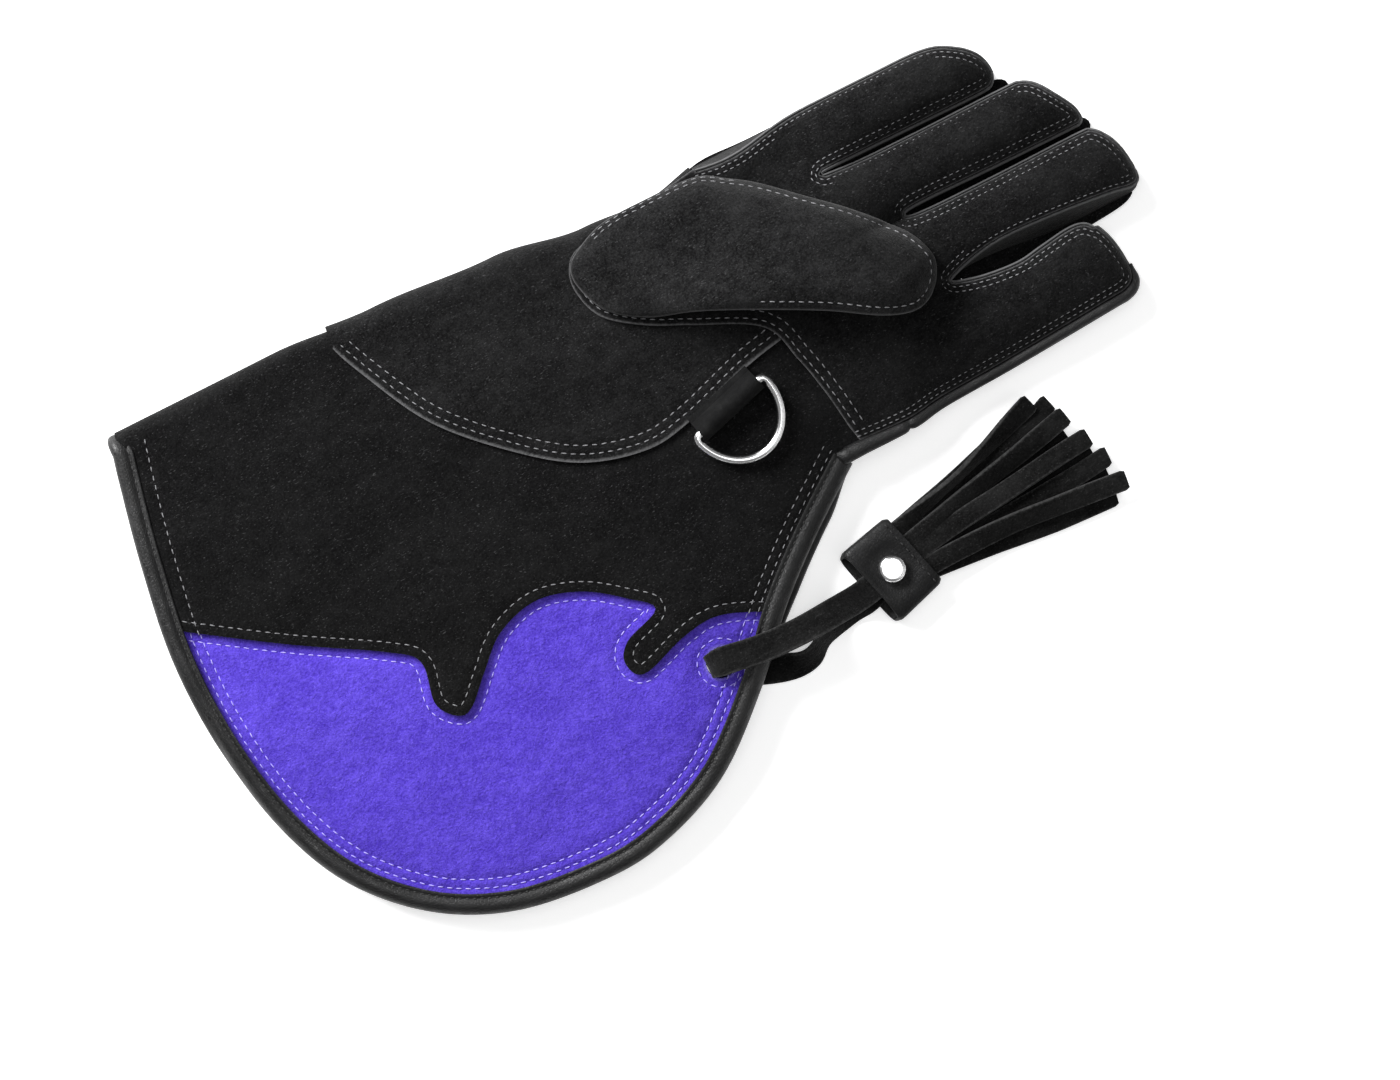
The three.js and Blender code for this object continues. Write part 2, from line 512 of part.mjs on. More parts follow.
function makeThumb() {
  const floor = (x, y) => palmZ(x, y) + LEATHER / 2 + GAP;
  const outer = between(thumbGrid, floor, (x, y) => floor(x, y) + thumbTop(x, y));
  const inner = between(thumbGrid, (x, y) => floor(x, y) + LEATHER,
    (x, y) => floor(x, y) + Math.max(thumbTop(x, y) - LEATHER, LEATHER + GAP));
  const loop = [thumbEdge[thumbEdge.length - 1], ...thumbEdge, thumbEdge[0]];
  const inset = offset(loop, -LEATHER).slice(1, -1);
  return outer.intersect(region(thumbEdge)).subtract(inner.intersect(region(inset)))
    .subtract(thumbMouth().intersect(between(thumbGrid, (x, y) => floor(x, y) - LEATHER,
      (x, y) => floor(x, y) + LEATHER + GAP)));
}

// The raised welt along the outer seam of the little finger
function makePiping() {
  const seam = offset(handEdge.slice(50, 59), PIPING_RADIUS + GAP);
  return roundBar(seam.map((p) => new THREE.Vector3(p.x, p.y,
    palmZ(p.x, p.y + PIPING_RADIUS) - LEATHER - GAP)), PIPING_RADIUS, 6);
}

// The D-ring and its keeper: a frame on the palm side, x along the bar and y away from the patch
const BAR = { middle: onCuff({ along: 0.872, across: 0.408 }), turn: 0.28 };
const RING_RADIUS = RING_WIRE / 2;
const ROLL_INNER = RING_RADIUS + BAR_CLEARANCE;
const ROLL_OUTER = ROLL_INNER + LEATHER;
const KEEPER_LENGTH = RING_INSIDE - 2 * KEEPER_PLAY;
const KEEPER_LEAF = 5; // flat run beside the roll, on the patch's side
function ringSeat() {
  const bar = new THREE.Vector2(Math.cos(BAR.turn), Math.sin(BAR.turn));
  const away = new THREE.Vector2(bar.y, -bar.x);
  const top = (u, v) => {
    const at = BAR.middle.clone().addScaledVector(bar, u).addScaledVector(away, v);
    return cuffZ(at.x, at.y) + LEATHER / 2;
  };
  const half = KEEPER_LENGTH / 2;
  const slopeAlong = (top(half, 0) - top(-half, 0)) / KEEPER_LENGTH;
  const slopeAway = (top(0, ROLL_OUTER) - top(0, -ROLL_OUTER)) / (2 * ROLL_OUTER);
  const x = new THREE.Vector3(bar.x, bar.y, slopeAlong).normalize();
  const roughY = new THREE.Vector3(away.x, away.y, slopeAway);
  const z = new THREE.Vector3().crossVectors(roughY, x).normalize();
  const y = new THREE.Vector3().crossVectors(x, z).normalize();
  const rise = (u, v) => top(u, v) - top(0, 0) - slopeAlong * u - slopeAway * v;
  let lift = 0;
  for (const u of lines(-half, half, 6)) {
    for (const v of lines(-KEEPER_LEAF, ROLL_OUTER, 6)) lift = Math.max(lift, rise(u, v));
  }
  const origin = new THREE.Vector3(BAR.middle.x, BAR.middle.y, top(0, 0) + lift + 2 * GAP);
  const droop = Math.min(...lines(-half, half, 4).map((u) =>
    (ROLL_OUTER - RING_RADIUS - GAP - lift - rise(u, RING_DEPTH)) / RING_DEPTH));
  return { x, y, z, origin, droop };
}
const seat = ringSeat();
const barPoint = seat.origin.clone().addScaledVector(seat.z, ROLL_OUTER);

// Solid from a profile in the plane square to the bar, drawn out along it
function alongBar(shape, length) {
  const geometry = new THREE.ExtrudeGeometry(shape, { depth: length, bevelEnabled: false, curveSegments: 4 });
  geometry.translate(0, 0, -length / 2);
  geometry.applyMatrix4(new THREE.Matrix4().makeBasis(seat.y, seat.z, seat.x.clone().negate()));
  geometry.translate(seat.origin.x, seat.origin.y, seat.origin.z);
  return solidOf(geometry);
}
function makeKeeper() {
  const shape = new THREE.Shape();
  shape.moveTo(-KEEPER_LEAF, 0);
  shape.lineTo(0, 0);
  shape.absarc(0, ROLL_OUTER, ROLL_OUTER, -0.5 * Math.PI, 0.92 * Math.PI, false);
  shape.lineTo(-KEEPER_LEAF, LEATHER);
  const tunnel = new THREE.Path();
  tunnel.absarc(0, ROLL_OUTER, ROLL_INNER, 0, 2 * Math.PI, true);
  shape.holes.push(tunnel);
  return alongBar(shape, KEEPER_LENGTH);
}

function makeRing() {
  const out = seat.y.clone().addScaledVector(seat.z, -seat.droop).normalize();
  const half = (RING_INSIDE + RING_WIRE) / 2;
  const corner = 0.6 * RING_WIRE;
  const start = 0.3 * corner;
  const bow = lines(0, Math.PI, 10).map((turn) =>
    [half * Math.cos(turn), corner + (RING_DEPTH - corner) * Math.sin(turn)]);
  const path = [
    [half - start, start], ...bow, [-half + start, start], [-half + corner, 0], [half - corner, 0],
  ];
  return roundBarIn(path.map(([u, v]) => barPoint.clone().addScaledVector(seat.x, u).addScaledVector(out, v)),
    new THREE.Vector3().crossVectors(seat.x, out).normalize());
}

// A closed wire that lies in one plane
const WIRE_SIDES = 8;
function roundBarIn(path, normal) {
  return loft(path.map((point, i) => {
    const before = path[(i + path.length - 1) % path.length];
    const after = path[(i + 1) % path.length];
    const run = after.clone().sub(before).normalize();
    const side = new THREE.Vector3().crossVectors(run, normal).normalize();
    return Array.from({ length: WIRE_SIDES }, (_, j) => {
      const turn = ((j + 0.5) / WIRE_SIDES) * 2 * Math.PI;
      return point.clone().addScaledVector(side, RING_RADIUS * Math.cos(turn))
        .addScaledVector(normal, -RING_RADIUS * Math.sin(turn));
    });
  }), true);
}

// The tassel: its own frame at the middle of the sleeve, x along the fringe
const TASSEL = { at: onCuff({ along: 0.985, across: 0.762 }), turn: 0.26 };
const SLEEVE_FLOOR = SNAP.under + GAP;
const SLEEVE_MIDDLE = SLEEVE_FLOOR + SLEEVE.height / 2;
const tassel = new THREE.Matrix4().makeRotationZ(TASSEL.turn).setPosition(TASSEL.at.x, TASSEL.at.y, 0);
const inTassel = (x, y, z) => new THREE.Vector3(x, y, z).applyMatrix4(tassel);
const SLEEVE_INSIDE = SLEEVE.width - 2.4 * LEATHER; // the side folds take more than the wall
const SLEEVE_CORNER = 0.4; // of the half height
const postHole = () => region(new THREE.EllipseCurve(TASSEL.at.x, TASSEL.at.y,
  SNAP.post / 2 + GAP, SNAP.post / 2 + GAP).getPoints(10).slice(0, 10));

function makeSleeve() {
  const profile = (half, rise) => {
    const flat = half - SLEEVE_CORNER * rise;
    return [[-half, 0], [-flat, -rise], [flat, -rise], [half, 0], [flat, rise], [-flat, rise]];
  };
  const tube = (width, height, length) => loft([-1, 1].map((end) =>
    profile(width / 2, height / 2).map(([y, z]) => inTassel((end * length) / 2, y, SLEEVE_MIDDLE + z))));
  return tube(SLEEVE.width, SLEEVE.height, SLEEVE.length)
    .subtract(tube(SLEEVE_INSIDE, SLEEVE.height - 2 * LEATHER, SLEEVE.length + 2))
    .subtract(postHole());
}

// The strap: out of the sleeve, over the flare, down its hole, under the flare and back
const STRAP_Z = SLEEVE.height / 2 - LEATHER - GAP - LEATHER / 2;
const STRAP_RIDE = 1.6; // over the binding, whose face slopes across the strap
const OVER_BINDING = [0.62, 0.42, 0.25]; // places of the top run, shares of the way from hole to sleeve
const UNDER_RUN = { along: 0.12 * CUFF_DEPTH, across: -0.045 * CUFF_DEPTH }; // from the hole, on the table
const STRAP_GRIP = 0.7; // of the sleeve's half length
function makeStrap() {
  const turn = Math.atan2(TASSEL.at.y - HOLE.y, TASSEL.at.x - HOLE.x);
  const top = (x, y) => cuffZ(x, y) - PAIR_HALF + BINDING_HEIGHT / 2 + STRAP_RIDE + LEATHER / 2;
  const over = (share) => {
    const [x, y] = [mix(HOLE.x, TASSEL.at.x, share), mix(HOLE.y, TASSEL.at.y, share)];
    return new THREE.Vector3(x, y, top(x, y));
  };
  const half = SLEEVE.length / 2;
  const high = SLEEVE_MIDDLE + STRAP_Z;
  const low = SLEEVE_MIDDLE - STRAP_Z;
  const holeZ = cuffZ(HOLE.x, HOLE.y);
  const grip = STRAP_GRIP * half;
  const fromHole = (x, y, z) => ({ point: new THREE.Vector3(HOLE.x + x, HOLE.y + y, z), heading: 0 });
  const atSleeve = (x, y, z) => ({ point: inTassel(x, y, z), heading: TASSEL.turn });
  const path = [
    atSleeve(grip, 0, high),
    atSleeve(-half - 1, 0, high),
    ...OVER_BINDING.map((share) => ({ point: over(share), heading: turn })),
    fromHole(3 * LEATHER, 0, holeZ + LEATHER),
    fromHole(LEATHER, 0, holeZ),
    fromHole(0, 0, holeZ - 2 * LEATHER),
    fromHole(0, 0, 3 * LEATHER),
    fromHole(LEATHER, 0, LEATHER),
    fromHole(3 * LEATHER, 0, LEATHER / 2),
    fromHole(UNDER_RUN.along, UNDER_RUN.across, LEATHER / 2),
    atSleeve(-half - 4 * LEATHER, -LEATHER, low - LEATHER),
    atSleeve(-half - 1, -LEATHER / 2, low),
    atSleeve(grip, 0, low),
  ];
  return ribbon(path, STRAP_WIDTH, LEATHER).subtract(postHole());
}

// The fringe: two layers of cut strips fused to a head inside the sleeve
const FAN = { first: 0.02, last: -0.36 }; // headings of the outer strips, from the tassel's own
const STAGGER = 0.25; // of a strip's pitch, one way in each layer
const STRIP_FALL = rows(['run', 'fall'], [[0, 0], [0.06, 0.2], [0.22, 0.85], [0.5, 1], [1, 1]]);
const stripReach = (i, layer) => FRINGE.length * (0.9 + 0.1 * Math.sin(2.4 * i + layer)); // uneven cut ends
function makeFringe() {
  const width = SLEEVE_INSIDE - SLEEVE_CORNER * SLEEVE.height;
  const headThickness = 2 * (STRAP_Z - LEATHER / 2 - GAP);
  const half = SLEEVE.length / 2;
  let fringe = ribbon([-half * 0.6, half + 3].map((x) =>
    ({ point: inTassel(x, 0, SLEEVE_MIDDLE), heading: TASSEL.turn })), width, headThickness);
  for (let layer = 0; layer < FRINGE.layers; layer += 1) {
    const rest = LEATHER / 2 + layer * (LEATHER - GAP);
    for (let i = 0; i < FRINGE.strips; i += 1) {
      const share = (i + 0.5 + (layer ? STAGGER : -STAGGER)) / FRINGE.strips;
      const root = (0.5 - share) * (width - FRINGE.strip);
      const fan = mix(FAN.first, FAN.last, share);
      const reach = stripReach(i, layer);
      const strip = STRIP_FALL.map(({ run, fall }) => ({
        point: inTassel(half + 1 + run * reach * Math.cos(fan), root + run * reach * Math.sin(fan),
          mix(SLEEVE_MIDDLE, rest, fall)),
        heading: TASSEL.turn + fan,
      }));
      fringe = fringe.add(ribbon(strip, FRINGE.strip, LEATHER));
    }
  }
  return fringe.subtract(postHole());
}

function turned(profile, sides = 20) {
  const geometry = new THREE.LatheGeometry(profile.map(([r, z]) => new THREE.Vector2(r, z)), sides);
  geometry.rotateX(Math.PI / 2);
  geometry.translate(TASSEL.at.x, TASSEL.at.y, 0);
  return solidOf(geometry);
}
const SLEEVE_TOP = SLEEVE_FLOOR + SLEEVE.height;
const makeSnapTop = () => turned([
  [0, SLEEVE_FLOOR], [SNAP.post / 2, SLEEVE_FLOOR], [SNAP.post / 2, SLEEVE_TOP + GAP],
  [SNAP.cap / 2, SLEEVE_TOP + GAP], [SNAP.cap / 2, SLEEVE_TOP + GAP + SNAP.dome * 0.3],
  [SNAP.cap * 0.36, SLEEVE_TOP + GAP + SNAP.dome * 0.8], [0, SLEEVE_TOP + GAP + SNAP.dome],
]);
const makeSnapUnder = () => turned([
  [0, 0], [SNAP.cap * 0.42, 0], [SNAP.cap / 2, SNAP.under * 0.5], [SNAP.cap / 2, SNAP.under], [0, SNAP.under],
]);

// Materials
const leather = (colour, roughness) => new THREE.MeshStandardMaterial({
  color: colour, roughness, metalness: 0,
});
const blackSuede = leather(0x232326, 0.95);
const purpleSuede = leather(0x5b40c4, 0.95);
const smoothLeather = leather(0x141416, 0.45);
const nickel = new THREE.MeshStandardMaterial({ color: 0xd8d8dc, roughness: 0.2, metalness: 1 });

// The whole glove
const design = new THREE.Group();
function place(name, solid, material) {
  const mesh = new THREE.Mesh(geometryOf(solid), material);
  mesh.name = name;
  design.add(mesh);
}
place('cuff_panel', makeCuffPanel(), blackSuede);
place('flame_panel_palm', makeFlamePalm(), purpleSuede);
place('flame_panel_back', makeFlameBack(), purpleSuede);
place('cuff_binding_palm', makeBindingPalm(), smoothLeather);
place('cuff_binding_back', makeBindingBack(), smoothLeather);
place('reinforcement', makeReinforcement(), blackSuede);
place('little_finger_back', makeLittleBack(), blackSuede);
place('palm_panel', makePalmPanel(), blackSuede);
SIDE_RUNS.forEach((run) => place(run.name, sideStrip(run.first, run.last), blackSuede));
place('thumb', makeThumb(), blackSuede);
place('little_finger_piping', makePiping(), smoothLeather);
place('ring_keeper', makeKeeper(), smoothLeather);
place('d_ring', makeRing(), nickel);
place('tassel_sleeve', makeSleeve(), smoothLeather);
place('tassel_strap', makeStrap(), blackSuede);
place('tassel_fringe', makeFringe(), blackSuede);
place('snap_cap_top', makeSnapTop(), nickel);
place('snap_cap_under', makeSnapUnder(), nickel);

// The origin is under the middle of the whole glove, on the surface that it rests on
const box = new THREE.Box3().setFromObject(design);
const middle = box.getCenter(new THREE.Vector3());
design.position.set(-middle.x, -middle.y, -box.min.z);

const glove = new THREE.Group();
glove.add(design);

export default glove;
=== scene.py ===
# %% [markdown]
# A falconry glove is cut from flat suede and sewn: a flared cuff folded round the thumb side, a second
# layer over the wrist, a palm with four fingers, a thumb, smooth bindings, a D-ring and a leather tassel.
# Here every panel is cut flat as a glover does it, laid over the same heights as the measured model, and
# then sewn.

# %% Load the measured model
import math
import bmesh
import bpy
import numpy as np
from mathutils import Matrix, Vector, kdtree, noise
from mathutils.geometry import delaunay_2d_cdt


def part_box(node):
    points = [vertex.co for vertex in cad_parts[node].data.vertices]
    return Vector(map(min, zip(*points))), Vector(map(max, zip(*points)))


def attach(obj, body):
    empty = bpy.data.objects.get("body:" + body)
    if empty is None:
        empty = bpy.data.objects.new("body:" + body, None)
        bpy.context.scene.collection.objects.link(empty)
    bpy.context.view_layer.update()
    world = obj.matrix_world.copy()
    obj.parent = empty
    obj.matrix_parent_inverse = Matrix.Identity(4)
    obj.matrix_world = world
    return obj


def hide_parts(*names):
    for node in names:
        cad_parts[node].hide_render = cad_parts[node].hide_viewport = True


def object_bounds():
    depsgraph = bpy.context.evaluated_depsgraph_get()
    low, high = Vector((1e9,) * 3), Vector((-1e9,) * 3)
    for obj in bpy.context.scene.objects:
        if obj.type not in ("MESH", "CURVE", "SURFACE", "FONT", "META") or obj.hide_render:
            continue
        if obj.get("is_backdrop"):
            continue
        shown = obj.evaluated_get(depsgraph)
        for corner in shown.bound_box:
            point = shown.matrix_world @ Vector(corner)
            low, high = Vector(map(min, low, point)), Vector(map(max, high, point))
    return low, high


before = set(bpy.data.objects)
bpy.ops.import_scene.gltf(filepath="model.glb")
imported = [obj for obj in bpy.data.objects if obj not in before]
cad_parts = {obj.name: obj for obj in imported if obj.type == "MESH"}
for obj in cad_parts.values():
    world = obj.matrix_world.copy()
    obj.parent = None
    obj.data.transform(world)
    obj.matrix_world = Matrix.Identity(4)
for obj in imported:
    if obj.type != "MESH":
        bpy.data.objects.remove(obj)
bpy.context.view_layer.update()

# %% [markdown]
# The glover's sizes are the measured model's own, in millimetres. A design place is counted from the fold
# at the mouth: x along the glove, y towards the thumb side. The snap's centre is known in both frames,
# which gives the step from the design to the model.

# %% Named sizes
CUFF_LENGTH, CUFF_DEPTH = 224.0, 214.0
HAND_LENGTH, HAND_WIDTH = 138.0, 111.0
LEATHER, GAP = 1.5, 0.3
FOLD_RADIUS = 6.0
CUFF_RISE, PALM_RISE, FINGER_RISE, FINGER_SIDE, SEAM_RISE = 21.0, 23.0, 18.0, 12.0, 7.5
THUMB_RISE, THUMB_ROUND = 14.0, 12.0
BINDING_WIDTH, BINDING_SKIN, PANEL_BACKSET = 7.6, 1.0, 2.0
PIPING_RADIUS = 1.9
HOLE_DIAMETER, STRAP_WIDTH = 11.0, 10.0
RING_WIRE, RING_INSIDE, RING_DEPTH = 3.0, 28.6, 20.0
SLEEVE_LENGTH, SLEEVE_WIDTH, SLEEVE_HEIGHT = 21.0, 30.0, 9.0
SNAP_CAP, SNAP_DOME, SNAP_UNDER = 10.0, 2.0, 1.0
LAYER = LEATHER + GAP
BACK_OUTER = LEATHER / 2
BACK_BLACK = BACK_OUTER + LAYER
BINDING_HEIGHT = 2 * LEATHER + 3 * GAP + 2 * BINDING_SKIN
BACK_PAIR = BINDING_HEIGHT / 2
PALM_PAIR = BACK_PAIR + BINDING_HEIGHT + GAP
PAIR_HALF = LAYER / 2
FOLD_TOP = BACK_BLACK + 2 * FOLD_RADIUS
WRIST = 0.991 * CUFF_LENGTH  # where the hand's own shares start
INDEX_SIDE = -0.028 * CUFF_DEPTH
MM = 0.001
TASSEL_AT = np.array([0.985 * CUFF_LENGTH, -0.762 * CUFF_DEPTH])
snap_low, snap_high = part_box("snap_cap_under")
SHIFT = np.array([(snap_low[i] + snap_high[i]) / 2 / MM - TASSEL_AT[i] for i in range(2)] + [0.0])
print("design origin in the model, in mm:", SHIFT.round(2))


# %% [markdown]
# The outlines are short tables of shares, as on the glover's pattern card. A Catmull-Rom curve runs
# through the points of each, and a parallel curve gives every seam that follows an edge.

# %% Curves
def ease(t):
    t = np.clip(t, 0, 1)
    return t * t * (3 - 2 * t)


def dome(t):
    return np.sqrt(1 - (1 - np.clip(t, 0, 1)) ** 2)


def mix(a, b, share):
    return a + (b - a) * share


def on_cuff(table):
    return np.array(table) * [CUFF_LENGTH, -CUFF_DEPTH]


def on_hand(table):
    return np.array(table) * [HAND_LENGTH, -HAND_WIDTH] + [WRIST, INDEX_SIDE]


def resample(points, pitch, closed=False):
    points = np.asarray(points, float)
    if closed:
        points = np.vstack([points, points[:1]])
    step = np.linalg.norm(np.diff(points, axis=0), axis=1)
    run = np.concatenate([[0], np.cumsum(step)])
    count = max(2, int(round(run[-1] / pitch)))
    at = np.linspace(0, run[-1], count + 1)
    if closed:
        at = at[:-1]
    return np.stack([np.interp(at, run, points[:, i]) for i in range(points.shape[1])], axis=1)


def smooth(points, pitch=1.5, closed=False):
    """A Catmull-Rom curve through the points, with a point every pitch."""
    p = np.asarray(points, float)
    n = len(p)
    out = []
    for i in range(n if closed else n - 1):
        if closed:
            a, b, c, d = p[i - 1], p[i], p[(i + 1) % n], p[(i + 2) % n]
        else:
            a, b, c, d = p[max(i - 1, 0)], p[i], p[i + 1], p[min(i + 2, n - 1)]
        for t in np.linspace(0, 1, 12, endpoint=False):
            out.append(0.5 * (2 * b + (c - a) * t + (2 * a - 5 * b + 4 * c - d) * t * t
                              + (3 * b - a - 3 * c + d) * t ** 3))
    if not closed:
        out.append(p[-1])
    return resample(out, pitch, closed)


def parallel(points, distance, closed=False):
    """The curve moved square to its run, to the left for a positive distance."""
    if closed:
        run = np.roll(points, -1, 0) - np.roll(points, 1, 0)
    else:
        run = np.gradient(points, axis=0)
    run = run / np.maximum(np.linalg.norm(run, axis=1), 1e-9)[:, None]
    return points + distance * np.stack([-run[:, 1], run[:, 0]], axis=1)


def circle(radius, count):
    return radius * np.array([[math.cos(a), math.sin(a)] for a in np.linspace(0, 2 * np.pi, count)])


print("a smooth curve through three points:", len(smooth([(0, 0), (10, 4), (20, 0)])), "points")


# %% [markdown]
# Two questions come up for every panel: which points lie inside an outline, and how far they are from a
# seam. Counting the crossings of a ray answers the first. A k-d tree, which sorts points by place,
# answers the second fast enough for some ten thousand points.

# %% Inside and near
CLOSE = 9.0  # past this distance, in millimetres, a seam has no effect


def inside(outline, points):
    """Which points lie inside a closed outline, by counting crossings."""
    hit = np.zeros(len(points), bool)
    x, y = points[:, 0], points[:, 1]
    for (ax, ay), (bx, by) in zip(outline, np.roll(outline, -1, 0)):
        if ay != by:
            cross = ((ay > y) != (by > y)) & (x < (bx - ax) * (y - ay) / (by - ay) + ax)
            hit ^= cross
    return hit


def near(points, lines, reach=1e9):
    """How far each point is from the nearest of the lines' points."""
    samples = np.vstack([part for line in lines for part in (line, resample(line, 0.5))])
    tree = kdtree.KDTree(len(samples))
    for i, p in enumerate(samples):
        tree.insert((p[0], p[1], 0), i)
    tree.balance()
    return np.minimum([tree.find((p[0], p[1], 0))[2] for p in points], reach)


def cut_mark(points, lines, width, strength=1.0):
    """How near each point is to a cut edge: the strength at the edge, and nothing a width from it."""
    return np.clip(1 - near(points[:, :2], lines, CLOSE) / width, 0, 1) * strength


print("distance from a point to a circle:", near(np.array([[0.0, 0.0]]), [circle(5.0, 60)]).round(2))

# %% [markdown]
# A glover keeps a card for every panel and cuts round it. These are the cards, as shares of the cuff's
# and the hand's own lengths and widths, so a longer cuff or a wider hand keeps its shape. They could be
# Bezier curves drawn by hand in Blender, but a short table can be read, changed and compared with the
# measured model.

# %% The pattern card
FOLD = np.array([[-0.1, -0.01], [0.28, -0.008], [0.45, 0.007], [0.65, 0.022], [0.8, 0.047],
                 [0.9, 0.055], [1.02, 0.033]])
FLARE = [[0, -0.02], [-0.022, 0.07], [-0.05, 0.21], [-0.073, 0.37], [-0.072, 0.53], [-0.045, 0.687],
         [0.012, 0.818], [0.107, 0.92], [0.225, 0.98], [0.36, 1], [0.47, 0.992], [0.6, 0.94],
         [0.72, 0.838], [0.81, 0.74], [0.9, 0.66]]
FLAME = [[-0.12, 0.27], [0.09, 0.42], [0.23, 0.51], [0.27, 0.55], [0.26, 0.62], [0.285, 0.655],
         [0.31, 0.65], [0.35, 0.61], [0.4, 0.565], [0.47, 0.545], [0.54, 0.565], [0.6, 0.61],
         [0.63, 0.645], [0.57, 0.67], [0.55, 0.7], [0.57, 0.73], [0.65, 0.705], [0.71, 0.7],
         [0.78, 0.73], [0.86, 0.78]]
FLAME_PANEL = [[-0.12, 0.2], [0.25, 0.455], [0.45, 0.49], [0.66, 0.59], [0.9, 0.68], [0.9, 1.1],
               [-0.12, 1.1]]
CROWN = np.array([[-0.08, 0.76], [0.3, 0.78], [0.7, 0.9], [1, 1]])
HAND = [[0, 0], [0.17, 0], [0.5, 0.003], [0.65, 0.01], [0.725, 0.052], [0.772, 0.105], [0.79, 0.158],
        [0.772, 0.203], [0.73, 0.217], [0.56, 0.215], [0.39, 0.213], [0.29, 0.216], [0.29, 0.222],
        [0.39, 0.227], [0.56, 0.23], [0.79, 0.23], [0.83, 0.235], [0.862, 0.262], [0.896, 0.322],
        [0.928, 0.378], [0.938, 0.415], [0.926, 0.438], [0.89, 0.444], [0.68, 0.442], [0.5, 0.437],
        [0.43, 0.44], [0.43, 0.452], [0.5, 0.46], [0.68, 0.462], [0.9, 0.461], [0.938, 0.47],
        [0.968, 0.512], [0.987, 0.565], [1, 0.64], [0.993, 0.675], [0.965, 0.69], [0.9, 0.678],
        [0.75, 0.66], [0.62, 0.652], [0.53, 0.664], [0.46, 0.689], [0.46, 0.7], [0.53, 0.724],
        [0.62, 0.735], [0.69, 0.724], [0.77, 0.712], [0.815, 0.722], [0.84, 0.762], [0.858, 0.82],
        [0.87, 0.9], [0.86, 0.945], [0.83, 0.965], [0.78, 0.97], [0.5, 0.992], [0.3, 1.003],
        [0.2, 1.018], [0.065, 1.01]]
FINGERS = [(0, 0.218, 0.79, 1), (0.226, 0.448, 0.938, 1), (0.456, 0.694, 1, 1), (0.7, 1.02, 0.875, 0)]
PALM_START = [[0.054, 0.955], [0.039, 0.832], [0.014, 0.698], [-0.026, 0.563], [-0.18, 0.457],
              [-0.286, 0.39], [-0.375, 0.303], [-0.404, 0.197], [-0.391, 0.12], [-0.343, 0.077],
              [-0.213, 0.061]]
PATCH = [[0.36, -0.05], [0.365, 0.02], [0.39, 0.09], [0.45, 0.21], [0.54, 0.31], [0.63, 0.38],
         [0.73, 0.41], [0.81, 0.4], [0.92, 0.365], [0.99, 0.35]]
PATCH_BACK = [[0.36, -0.05], [0.37, 0.15], [0.4, 0.34], [0.47, 0.5], [0.58, 0.6], [0.72, 0.63],
              [0.84, 0.58], [0.94, 0.49], [1.03, 0.45], [1.15, 0.45], [1.24, 0.43], [1.29, 0.39]]
CUFF_END = [[1.04, 0.31], [0.99, 0.29], [0.89, 0.235], [0.82, 0.19], [0.795, 0.155], [0.795, 0.12],
            [0.86, 0.107], [1.01, 0.085]]
LITTLE_BACK = [[-0.023, 0.775], [0.08, 0.727], [0.242, 0.717], [0.436, 0.698], [0.477, 0.705]]
THUMB = [[-0.394, 0.187], [-0.386, 0.12], [-0.335, 0.077], [-0.262, 0.046], [-0.148, 0.042],
         [-0.01, 0.05], [0.063, 0.1], [0.128, 0.158], [0.225, 0.274], [0.307, 0.37], [0.396, 0.486],
         [0.432, 0.592], [0.42, 0.659], [0.38, 0.712], [0.323, 0.731], [0.242, 0.698], [0.128, 0.611],
         [-0.018, 0.516], [-0.164, 0.428], [-0.278, 0.37], [-0.359, 0.293]]
HOLE = on_cuff([[0.683, 0.771]])[0]
STRAP_PASS = on_cuff([[0.74, 0.8]])[0]

NOTCH = on_hand([[0.022, 1.064]])[0]
flare = smooth(np.vstack([on_cuff(FLARE), NOTCH]))
flame = smooth(on_cuff(FLAME))
hand_curve = smooth(on_hand([[-0.16, 0.09]] + HAND), 1.2)
patch = smooth(on_cuff(PATCH))
patch_back = smooth(on_cuff(PATCH_BACK))
thumb = smooth(on_hand(THUMB), 1.2, closed=True)
palm_start = smooth(on_hand(PALM_START))
CROTCH = INDEX_SIDE - 0.694 * HAND_WIDTH
print("pattern card:", len(flare), "points on the flare,", len(hand_curve), "round the hand")


# %% [markdown]
# The heights are the same rules as the measured model's, worked out here for whole arrays of points: the
# cuff arches from its fold to its bound edge, the palm rises over the hand, and each finger has its own
# round.

# %% Heights of the leather
def read_table(table, along):
    along = np.asarray(along, float)
    out = np.full(along.shape, table[0][1])
    for (x0, v0), (x1, v1) in zip(table[:-1], table[1:]):
        out = np.where(along >= x0, mix(v0, v1, ease((along - x0) / (x1 - x0))), out)
    return out


def fold_centre(x):
    return -read_table(FOLD, np.asarray(x) / CUFF_LENGTH) * CUFF_DEPTH - FOLD_RADIUS - LEATHER / 2


LOW_X = np.linspace(-20, 240, 261)
LOW_Y = []
for station in LOW_X:
    low = NOTCH[1]
    cross = (flare[:-1, 0] - station) * (flare[1:, 0] - station) <= 0
    for a, b in zip(flare[:-1][cross], flare[1:][cross]):
        if a[0] != b[0]:
            low = min(low, mix(a[1], b[1], (station - a[0]) / (b[0] - a[0])))
    LOW_Y.append(low)


def strap_lift(x, y):
    reach = np.hypot(x - STRAP_PASS[0], y - STRAP_PASS[1]) / CUFF_DEPTH
    return (LEATHER + 2 * GAP) * ease((0.23 - reach) / 0.11)


BEND_TAIL = 8.0


